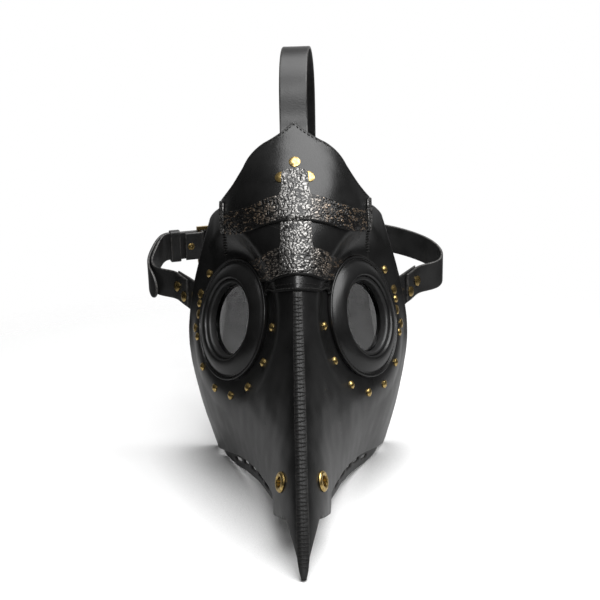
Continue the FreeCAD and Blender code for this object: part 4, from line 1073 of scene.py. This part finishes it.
def edge_roll(name, line, height, radius):
    """Rolled leather edge along a line of the front view; darker and duller than the panels, it also
    paints the shadow line below a band.
    """
    points, _ = row_on_form(clear_of_rings(solve_places(line, FRONT)), height)
    roll = with_attributes(tubes(name, points[None], radius, sides=14, taper=0.2))
    stand_in(roll, ROLL_LEATHER_AND_PAINTED_SHADE)


def build_panel_stitches():
    line = solve_places(line_to(peak_line(), 1.5), FRONT)
    points, _, _, normal = form_frame(line)
    inward = unit(np.cross(normal, unit(np.gradient(points, axis=0))))
    inward *= np.sign((inward * (np.array((0, 0, 240.0)) - points)).sum(1))[:, None]
    row = moved_places(line, inward * PEAK_STITCH_INSET)[3:-3]
    stitch_row("peak_edge_stitches", row, level(2) + PANEL, 3.6, 0.7, 0.34)
    edge_roll("brow_edge_roll", BROW_ARCH + (0, 0.4), level(0) + 0.9, 1.35)
    for number, rise, height, radius in ((1, 0.8, 2.1, 0.45), (2, 4.0, PANEL, 0.32)):
        row = clear_of_rings(solve_places(BROW_ARCH + (0, rise), FRONT))
        stitch_row("brow_edge_stitches_%d" % number, row, level(0) + height, 2.7, 0.74, radius)
    # Below each band the roll is a rolled panel edge and a painted shadow line in one.
    for name, line, step in (("upper", UPPER_BAND_LOW, 2), ("lower", LOWER_BAND_LOW, 1)):
        line = line_to(line + (0, -0.5), 1.5)
        edge_roll("band_edge_roll_and_painted_shadow_" + name, line, level(step) + 0.75, 1.15)


def build_whip_stitches():
    """Thread wound over the panel's side edges between the upper band and the eye rings."""
    slope = np.linspace(0, 1.0, len(WHIP_ACROSS))
    lift = (WHIP_LIFT + level(2))[:, None]
    for side, flip in SIDES:
        paths = []
        for height in np.arange(181.0, UPPER_BAND_END, WHIP_PITCH):
            places = solve_places(np.c_[WHIP_ACROSS * flip, height - slope], FRONT)
            paths.append(row_on_form(places, lift)[0])
        whip = tubes("panel_whip_stitches_" + side, paths, 0.65, taper=0.5)
        stand_in(whip, THREAD)


def with_attributes(item):
    """What the leather material reads, for a piece that isn't a sheet: no edge, outer side."""
    count = len(item.data.vertices)
    set_attribute(item, "edge", np.full(count, 2.0))
    set_attribute(item, "inside", np.zeros(count))
    return item


# ---------------------------------------------------------------- turned pieces

def lathe(name, profile, segments, mirrored):
    """Ring or disc turned about the eye axis; the profile is a closed list of (radius, height)."""
    profile = np.asarray(profile, float)
    ring = turned(full_turn(segments), EYE_SIDEWAYS, EYE_UPWARDS)
    vertices = (EYE_CENTRE + ring[:, None] * profile[None, :, :1] + EYE_AXIS * profile[None, :, 1:])
    if mirrored:
        vertices = vertices * MIRROR
    vertices = vertices.reshape(-1, 3)
    count = len(profile)
    faces = []
    for turn in range(segments):
        for k in range(count):
            a = turn * count + k
            b = turn * count + (k + 1) % count
            c = ((turn + 1) % segments) * count + (k + 1) % count
            d = ((turn + 1) % segments) * count + k
            faces.append((a, b, c, d) if mirrored else (a, d, c, b))
    return cleaned(mesh_object(name, vertices, faces), merge=1e-6)


# Profiles are (radius, height above the flat under the ring), in millimetres.
RING_FOOT = 0.15
PIPING_MIDDLE = (47.95, 2.95)
PIPING_RADIUS = 0.85
FACE_OUT = 44.8
FACE_IN = 34.2
STITCH_CIRCLE = 46.15
STITCH_LEVEL = 2.35
CUP_PROFILE = [(28.6, -4.4), (31.9, -4.4), (31.9, 4.6), (31.7, 5.2), (31.2, 5.4), (30.0, 5.4),
               (29.3, 5.0), (28.9, 4.2), (28.6, 3.4), (28.6, 0.4), (28.6, -2)]
LENS_EDGE = [(0.0, -2.5), (28.2, -2.5), (28.5, -2.3), (28.5, -0.9), (28.2, -0.6)]
LENS_CROWN = 0.35


def ring_profile():
    """Piped edge, stitched groove and padded face of an eye ring."""
    x, z = PIPING_MIDDLE
    piping = [(48.1, RING_FOOT), (48.8, 0.7)]
    piping += [(x + PIPING_RADIUS * math.cos(turn), z + PIPING_RADIUS * math.sin(turn))
               for turn in np.radians(np.linspace(-20, 170, 9))]
    groove = [(46.9, 2.5), (46.3, 2.25), (45.6, 2.35), (45.0, 2.8)]
    face = [(FACE_OUT - share * (FACE_OUT - FACE_IN),
             3.2 + 3.9 * math.sin(share * math.pi / 2) ** 0.8 + 0.7 * share)
            for share in np.linspace(0, 1, 16)[1:]]
    lip = [(33.7, 7.75), (33.1, 7.5), (32.6, 6.9), (32.2, 6.1), (32.0, 5.1), (32.0, RING_FOOT)]
    return piping + groove + face + lip


def lens_profile():
    """Thin disc with a slightly crowned face."""
    return LENS_EDGE + [(radius, -0.5 + LENS_CROWN * (1 - (radius / 28.0) ** 2))
                        for radius in (27.5, 24, 20, 15, 10, 5, 0.0)]


def build_eyes():
    angles = np.linspace(0, 2 * math.pi, 400)
    stitch_line = (EYE_CENTRE + STITCH_CIRCLE * turned(angles, EYE_SIDEWAYS, EYE_UPWARDS)
                   + EYE_AXIS * STITCH_LEVEL)
    for side, sign in SIDES:
        flip = sign < 0
        ring = lathe("eye_ring_leather_" + side, ring_profile(), 220, flip)
        stand_in(with_attributes(ring), RING_LEATHER, ["eye_ring_" + side])
        tube = lathe("lens_tube_" + side, CUP_PROFILE, 160, flip)
        stand_in(tube, TUBE_BLACK, ["lens_cup_" + side])
        glass = lathe("lens_glass_" + side, lens_profile(), 120, flip)
        stand_in(glass, LENS, ["lens_" + side])
        mirror = (sign, 1.0, 1.0)
        normals = np.repeat(EYE_AXIS[None], len(angles), 0) * mirror
        row = running_stitches("eye_ring_stitches_" + side, stitch_line * mirror, normals,
                               3.1, 0.74, 0.5)
        stand_in(row, THREAD)


# ---------------------------------------------------------------- straps

def spline_through(points, gap=1.5):
    """Smooth curve through points, sampled evenly."""
    points = np.asarray(points, float)
    chords = run_lengths(points)
    count = len(points)
    steps = np.diff(chords)
    matrix = np.eye(count)
    wanted = np.zeros((count, 3))
    for k in range(1, count - 1):
        matrix[k, k - 1:k + 2] = (steps[k - 1], 2 * (steps[k - 1] + steps[k]), steps[k])
        wanted[k] = 6 * ((points[k + 1] - points[k]) / steps[k]
                         - (points[k] - points[k - 1]) / steps[k - 1])
    bend = np.linalg.solve(matrix, wanted)
    at = np.linspace(0, chords[-1], int(chords[-1] / 0.25) + 2)
    index = np.clip(np.searchsorted(chords, at) - 1, 0, count - 2)
    width = steps[index][:, None]
    a = (chords[index + 1] - at)[:, None]
    b = (at - chords[index])[:, None]
    curve = (bend[index] * a ** 3 + bend[index + 1] * b ** 3) / (6 * width)
    curve += (points[index] / width - bend[index] * width / 6) * a
    curve += (points[index + 1] / width - bend[index + 1] * width / 6) * b
    lengths = run_lengths(curve)
    even = np.linspace(0, lengths[-1], int(lengths[-1] / gap) + 2)
    near_end = lengths[-1] - np.array((0.1, 0.35, 0.9, 2, 3.5, 5.5))
    even = np.unique(np.r_[even, (0.1, 0.35, 0.9), near_end])
    return sampled(even, lengths, curve), even


def ribbon(name, centre, along, wide, half, thickness=STRAP, radius=0.85, slot=None, closed=False):
    """Flat strap with rounded edges.

    wide points across it, half is half its width, slot(point) is true where it is cut."""
    wide = np.repeat(np.array(wide, float)[None], len(centre), 0)
    length = along[-1]
    tangent = unit(np.gradient(centre, axis=0))
    if closed:
        tangent = unit(np.roll(centre, -1, 0) - np.roll(centre, 1, 0))
    normal = unit(np.cross(tangent, wide))
    inner = np.linspace(-1, 1, 15)
    full = half.max()
    near = np.array((0, 0.12, 0.45, 1.0)) * radius / full
    slot_edge = 2.25 / full
    columns = np.unique(np.r_[-1 + near, inner[(inner > -0.9) & (inner < 0.9)], 1 - near,
                              -slot_edge, slot_edge])
    rows, count = len(centre), len(columns)
    across = columns[None, :] * half[:, None]
    end = np.full(rows, 99.0) if closed else np.minimum(along, length - along)
    distance = np.minimum(half[:, None] - np.abs(across), end[:, None])
    points = centre[:, None] + wide[:, None] * across[..., None]
    wave = plane_waves(points.reshape(-1, 3), 60, 8).reshape(rows, count) * 0.18
    height = thickness / 2 - edge_drop(distance, radius)
    top = points + normal[:, None] * (wave + height)[..., None]
    bottom = points + normal[:, None] * (wave - height)[..., None]
    keep = np.ones((rows - (0 if closed else 1), count - 1), bool)
    if slot:
        for i in range(keep.shape[0]):
            for k in range(count - 1):
                middle = (points[i, k] + points[(i + 1) % rows, k + 1]) / 2
                keep[i, k] = not slot(middle)
    total = rows * count
    faces = []

    def vertex(i, k):
        return (i % rows) * count + k

    for i in range(keep.shape[0]):
        for k in range(count - 1):
            if not keep[i, k]:
                continue
            a, b, c, d = vertex(i, k), vertex(i + 1, k), vertex(i + 1, k + 1), vertex(i, k + 1)
            faces.append((a, b, c, d))
            faces.append((d + total, c + total, b + total, a + total))
            sides = ((a, b, i, k - 1), (b, c, i + 1, k), (c, d, i, k + 1), (d, a, i - 1, k))
            for p, q, ni, nk in sides:
                if closed:
                    ni %= rows
                outside = not (0 <= ni < keep.shape[0] and 0 <= nk < count - 1)
                if outside or not keep[ni, nk]:
                    faces.append((q, p, p + total, q + total))
    item = mesh_object(name, np.vstack([top.reshape(-1, 3), bottom.reshape(-1, 3)]), faces)
    set_attribute(item, "edge", np.tile(distance.ravel(), 2))
    set_attribute(item, "inside", np.zeros(2 * total))
    return cleaned(item)


BUCKLE_BAR = np.array((-88.0, 140.0, 163.5))
BUCKLE_TURN = math.radians(18)
ALONG = np.array((math.cos(BUCKLE_TURN), math.sin(BUCKLE_TURN), 0))
OUTWARD = np.array((-math.sin(BUCKLE_TURN), math.cos(BUCKLE_TURN), 0))
FOLD_OFFSET = 3.1
TAIL_OFFSET = 5.8
STRAP_HALF_WIDTH = 12.5
CROWN_HALF_WIDTH = 11.0
TAB_BACK = -SHELL - 0.2 - STRAP
UPRIGHT = (0, 0, 1.0)
LEFT_BEND = [(-124.8, 99, 142.5), (-128.3, 110, 147), (-125.2, 122, 155)]
RIGHT_BEND = [(124.8, 99, 142.5), (128.8, 110, 146.5), (123, 124, 153), (106, 136, 159.5),
              (80, 145, 165), (40, 150.5, 167.5), (0, 153, 167), (-30, 152.5, 165)]
TAIL_BEND = [(-128.4, 122.5, 155), (-131.4, 110, 147), (-128.9, 98, 140.5), (-122.5, 88, 136.5)]
CROWN_PATH = [(0, -14.2, 245.25), (0, -2.2, 258.25), (0, 9.8, 271.25), (0, 21.3, 285.3),
              (0, 27, 305), (0.5, 35, 325), (2, 52, 339), (4.5, 76, 340), (7, 100, 322),
              (8, 119, 288), (8, 132, 248), (7.5, 141, 212), (7, 146.5, 182), (7, 149.2, 160)]


def buckle_points(*steps):
    """Points at (along, outward) from the buckle's bar."""
    return [BUCKLE_BAR + ALONG * along + OUTWARD * outward for along, outward in steps]


def tab_centre(y):
    return 128 + 0.21 * (y - 30)


def outside_tab(y):
    place = solve_places([(y, tab_centre(y))], SIDE)
    return row_on_form(place, -SHELL - 0.1 + STRAP / 2)[0][0]


def in_prong_slot(point):
    arm = point - BUCKLE_BAR
    return 1.5 < arm @ ALONG < 18.5 and -3 < arm @ OUTWARD < 9 and abs(arm[2]) < 2.2


def side_strap(name, points, round_end, node):
    centre, along = spline_through(points)
    half = np.full(len(centre), STRAP_HALF_WIDTH)
    if round_end:
        rest = np.clip(STRAP_HALF_WIDTH - (along[-1] - along), 0, None) / STRAP_HALF_WIDTH
        half = STRAP_HALF_WIDTH * np.maximum(np.sqrt(np.clip(1 - rest ** 2, 0, 1)), 0.12)
    slot = in_prong_slot if round_end else None
    strap = ribbon(name, centre, along, UPRIGHT, half, slot=slot)
    stand_in(strap, STRAP_LEATHER, [node])


def build_straps():
    tab = [outside_tab(y) for y in (71, 79, 87)]
    fold = [(FOLD_OFFSET * math.cos(turn), FOLD_OFFSET * math.sin(turn))
            for turn in np.radians(np.arange(60, -91, -30))]
    left = [point * MIRROR for point in tab] + LEFT_BEND
    left += buckle_points(*[(along, FOLD_OFFSET) for along in (-30, -22, -14, -7, 0)], *fold,
                          *[(along, -FOLD_OFFSET) for along in (-4, -9, -14)])
    side_strap("side_strap_left", left, False, "strap_left")
    right = tab + RIGHT_BEND
    right += buckle_points((38, -3.8), (28, -3.8), (21.5, -3.7), (14, 0.2), (7, 5.0),
                           *[(along, TAIL_OFFSET) for along in (0, -7, -14, -22, -30)])
    side_strap("side_strap_right", right + TAIL_BEND, True, "strap_right")
    centre, along = spline_through(CROWN_PATH)
    half = np.full(len(centre), CROWN_HALF_WIDTH)
    strap = ribbon("crown_strap", centre, along, (1.0, 0, 0), half)
    stand_in(strap, STRAP_LEATHER, ["top_strap"])


def build_tabs():
    top = [(y, tab_centre(y) + rise) for y, rise in ((32, 19), (60, 13.5), (88, 12.5))]
    low = [(y, tab_centre(y) - drop) for y, drop in ((88, 12.5), (60, 13.5), (32, 19))]
    loop = even_loop(solve_places(joined(line_to(top, 2), line_to(low, 2)), SIDE), 1.2)
    for side, edge in both_sides(loop):
        tab = leather_sheet("strap_tab_" + side, [edge], TAB_BACK, TAB_BACK + STRAP, 1.4, 0.8)
        stand_in(tab, STRAP_LEATHER, ["side_tab_" + side])


SLOT_COUNT = 5
SLOT_FIRST = -2
SLOT_PITCH = 20.0
SLOT_DROP = 6.0
SLOT_HALF_LENGTH = 7.5
SLOT_HALF_HEIGHT = 1.9
CHIN_BACK = -2 * SHELL - 0.3


def chin_slot_height(y):
    """Slots follow the lower edge of the cheek a few millimetres below it."""
    edge = np.array([CHEEK_FOOT] + LOWER_EDGE[:-1], float)[::-1]
    return float(np.interp(y, edge[:, 0], edge[:, 1])) - SLOT_DROP


def chin_slot(middle):
    """Long slot with round ends."""
    slope = (chin_slot_height(middle + 7) - chin_slot_height(middle - 7)) / 14
    turn = np.linspace(-math.pi / 2, math.pi / 2, 9)
    straight = SLOT_HALF_LENGTH - SLOT_HALF_HEIGHT
    front = np.c_[straight + SLOT_HALF_HEIGHT * np.cos(turn), SLOT_HALF_HEIGHT * np.sin(turn)]
    loop = np.vstack([front, -front])
    loop[:, 1] += loop[:, 0] * slope
    return even_loop(solve_places(loop + (middle, chin_slot_height(middle)), SIDE), 1.0)


def build_chin_panels():
    lower = [(36, 0.6), (10, 2), (-26, 10), (-64, 18), (-104, 23)]
    upper = [(-116, 38), (-100, 48), (-40, 44), (20, 30), (44, 16)]
    outline = joined(line_to(softened(lower), 2), line_to(upper, 2))
    loops = [even_loop(solve_places(outline, SIDE), 1.4)]
    loops += [chin_slot(SLOT_FIRST - SLOT_PITCH * k) for k in range(SLOT_COUNT)]
    for pairs in zip(*[both_sides(loop) for loop in loops]):
        name = pairs[0][0]
        panel = leather_sheet("chin_panel_leather_" + name, [edge for _, edge in pairs],
                              CHIN_BACK, CHIN_BACK + SHELL, 1.5, 0.75)
        stand_in(panel, LINING_LEATHER, ["chin_panel_" + name])


KEEPER_WALL = 0.8
KEEPER_AIR = 0.3
KEEPER_CORNER = 1.6
KEEPER_ALONG = -22


def build_keeper():
    """Loop of leather round the two strap layers."""
    half = 13.0 + KEEPER_WALL
    reach = STRAP / 2 + KEEPER_AIR + KEEPER_WALL
    low, high = FOLD_OFFSET - reach, TAIL_OFFSET + reach
    corners = []
    for sign_h, sign_v, start in ((1, -1, -90), (1, 1, 0), (-1, 1, 90), (-1, -1, 180)):
        middle = (low + high) / 2 + sign_h * ((high - low) / 2 - KEEPER_CORNER)
        height = sign_v * (half - KEEPER_CORNER)
        for angle in np.radians(np.linspace(start, start + 90, 7)):
            corners.append((middle + KEEPER_CORNER * math.cos(angle),
                            height + KEEPER_CORNER * math.sin(angle)))
    loop = line_to(np.vstack([corners, corners[:1]]), 0.8)[:-1]
    centre = (BUCKLE_BAR + ALONG * KEEPER_ALONG + loop[:, :1] * OUTWARD
              + loop[:, 1:] * np.array(UPRIGHT))
    along = np.linspace(0, 1, len(centre))
    half = np.full(len(centre), 4.5)
    keeper = ribbon("keeper_loop", centre, along, ALONG, half, 1.55, 0.5, closed=True)
    stand_in(keeper, STRAP_LEATHER, ["strap_keeper"], "strap_keeper")


# ---------------------------------------------------------------- metal kept from the CAD

BEVEL_WIDTH = 0.3
BRASS_SINGLES = ("forehead_rivets", "buckle_fold_rivet", "top_strap_rivet", "buckle_frame",
                 "buckle_prong")
BRASS_PAIRS = ("eye_studs", "nostril_eyelet", "eyelet_washer", "tab_rivets", "strap_rivets")


def finish_metal():
    kept = {node: BRASS for node in BRASS_SINGLES}
    for side, _ in SIDES:
        kept["lens_retainer_" + side] = TUBE_BLACK
        kept.update({"%s_%s" % (stem, side): BRASS for stem in BRASS_PAIRS})
    for node, material in kept.items():
        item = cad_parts[node]
        item.data.materials.clear()
        item.data.materials.append(material)
        bevel = item.modifiers.new("worn_edges", "BEVEL")
        bevel.width = BEVEL_WIDTH * MM
        bevel.segments = 3
        bevel.limit_method = "ANGLE"
        bevel.angle_limit = math.radians(35)


# ---------------------------------------------------------------- studio

def area_light(name, place, target, width, depth, power):
    data = bpy.data.lights.new(name, "AREA")
    data.shape = "RECTANGLE"
    data.size = width
    data.size_y = depth
    data.energy = power
    item = placed(name, data)
    item.location = Vector(place) + Vector(ROW_SHIFT * MM)
    item.rotation_euler = (target - item.location).to_track_quat("-Z", "Y").to_euler()


SIDE_LIGHT = 0.04
BACK_LIGHT = 1.1
TOP_LIGHT = 0.15


def build_world():
    """White to the camera; for the leather, a room bright behind and above and dark in front."""
    r = Recipe("studio", "worlds")
    bpy.context.scene.world = r.owner
    place = r.add("ShaderNodeTexCoord").outputs["Generated"]
    x, y, z = r.add("ShaderNodeSeparateXYZ", {0: place}).outputs
    side = r.math("MULTIPLY", r.math("ADD", x, 1.2), 0.5)
    back = r.math("POWER", r.math("MAXIMUM", y, 0.0), 8.0)
    above = r.math("MAXIMUM", z, 0.0)
    strength = r.math("MULTIPLY", side, SIDE_LIGHT)
    for share, light in ((back, BACK_LIGHT), (above, TOP_LIGHT)):
        strength = r.math("ADD", strength, r.math("MULTIPLY", share, light))
    white = (1, 1, 1, 1)
    room = r.add("ShaderNodeBackground", {"Color": white, "Strength": strength}).outputs[0]
    seen = r.add("ShaderNodeBackground", {"Color": white, "Strength": 1.0}).outputs[0]
    watched = r.add("ShaderNodeLightPath").outputs["Is Camera Ray"]
    mixed = r.add("ShaderNodeMixShader", {0: watched, 1: room, 2: seen})
    r.close(mixed.outputs[0], "ShaderNodeOutputWorld")


FLOOR_HALF = 3.0
LIGHT_TARGET = (0, 0, 0.15)
CAMERA_TARGET = (0, 0, 0.149)
CAMERA_DISTANCE = 0.9
CAMERA_ELEVATION = math.radians(16)
CAMERA_ROLL = math.radians(-1.3)
CAMERA_LENS = 67.8


def build_studio():
    data = bpy.data.meshes.new("studio_floor")
    corners = [(FLOOR_HALF * x, FLOOR_HALF * y, 0) for x, y in ((-1, -1), (1, -1), (1, 1), (-1, 1))]
    data.from_pydata(corners, [], [(0, 1, 2, 3)])
    data.materials.append(paper_floor())
    floor = placed("studio_floor", data)
    floor.location.z = -0.0002
    build_world()
    shift = Vector(ROW_SHIFT * MM)
    target = Vector(LIGHT_TARGET) + shift
    area_light("overhead", (0.36, -0.22, 1.15), target, 1.2, 1.4, 26)
    area_light("front_fill", (0.1, -1.25, 1.0), target, 0.5, 0.35, 8)
    lens = bpy.data.cameras.new("camera")
    lens.sensor_width = 36
    lens.lens = CAMERA_LENS
    lens.shift_x = 0.004
    camera = placed("camera", lens)
    target = Vector(CAMERA_TARGET) + shift
    away = Vector((0, -math.cos(CAMERA_ELEVATION), math.sin(CAMERA_ELEVATION)))
    place = target + away * CAMERA_DISTANCE
    turn = (target - place).to_track_quat("-Z", "Y").to_matrix().to_4x4()
    camera.matrix_world = Matrix.Translation(place) @ turn @ Matrix.Rotation(CAMERA_ROLL, 4, "Z")
    bpy.context.scene.camera = camera
    bpy.context.scene.view_settings.view_transform = "Standard"


build_shells()
build_forehead()
build_crackle()
build_ridge()
build_panel_stitches()
build_whip_stitches()
build_eyes()
build_straps()
build_tabs()
build_chin_panels()
build_keeper()
finish_metal()
build_studio()
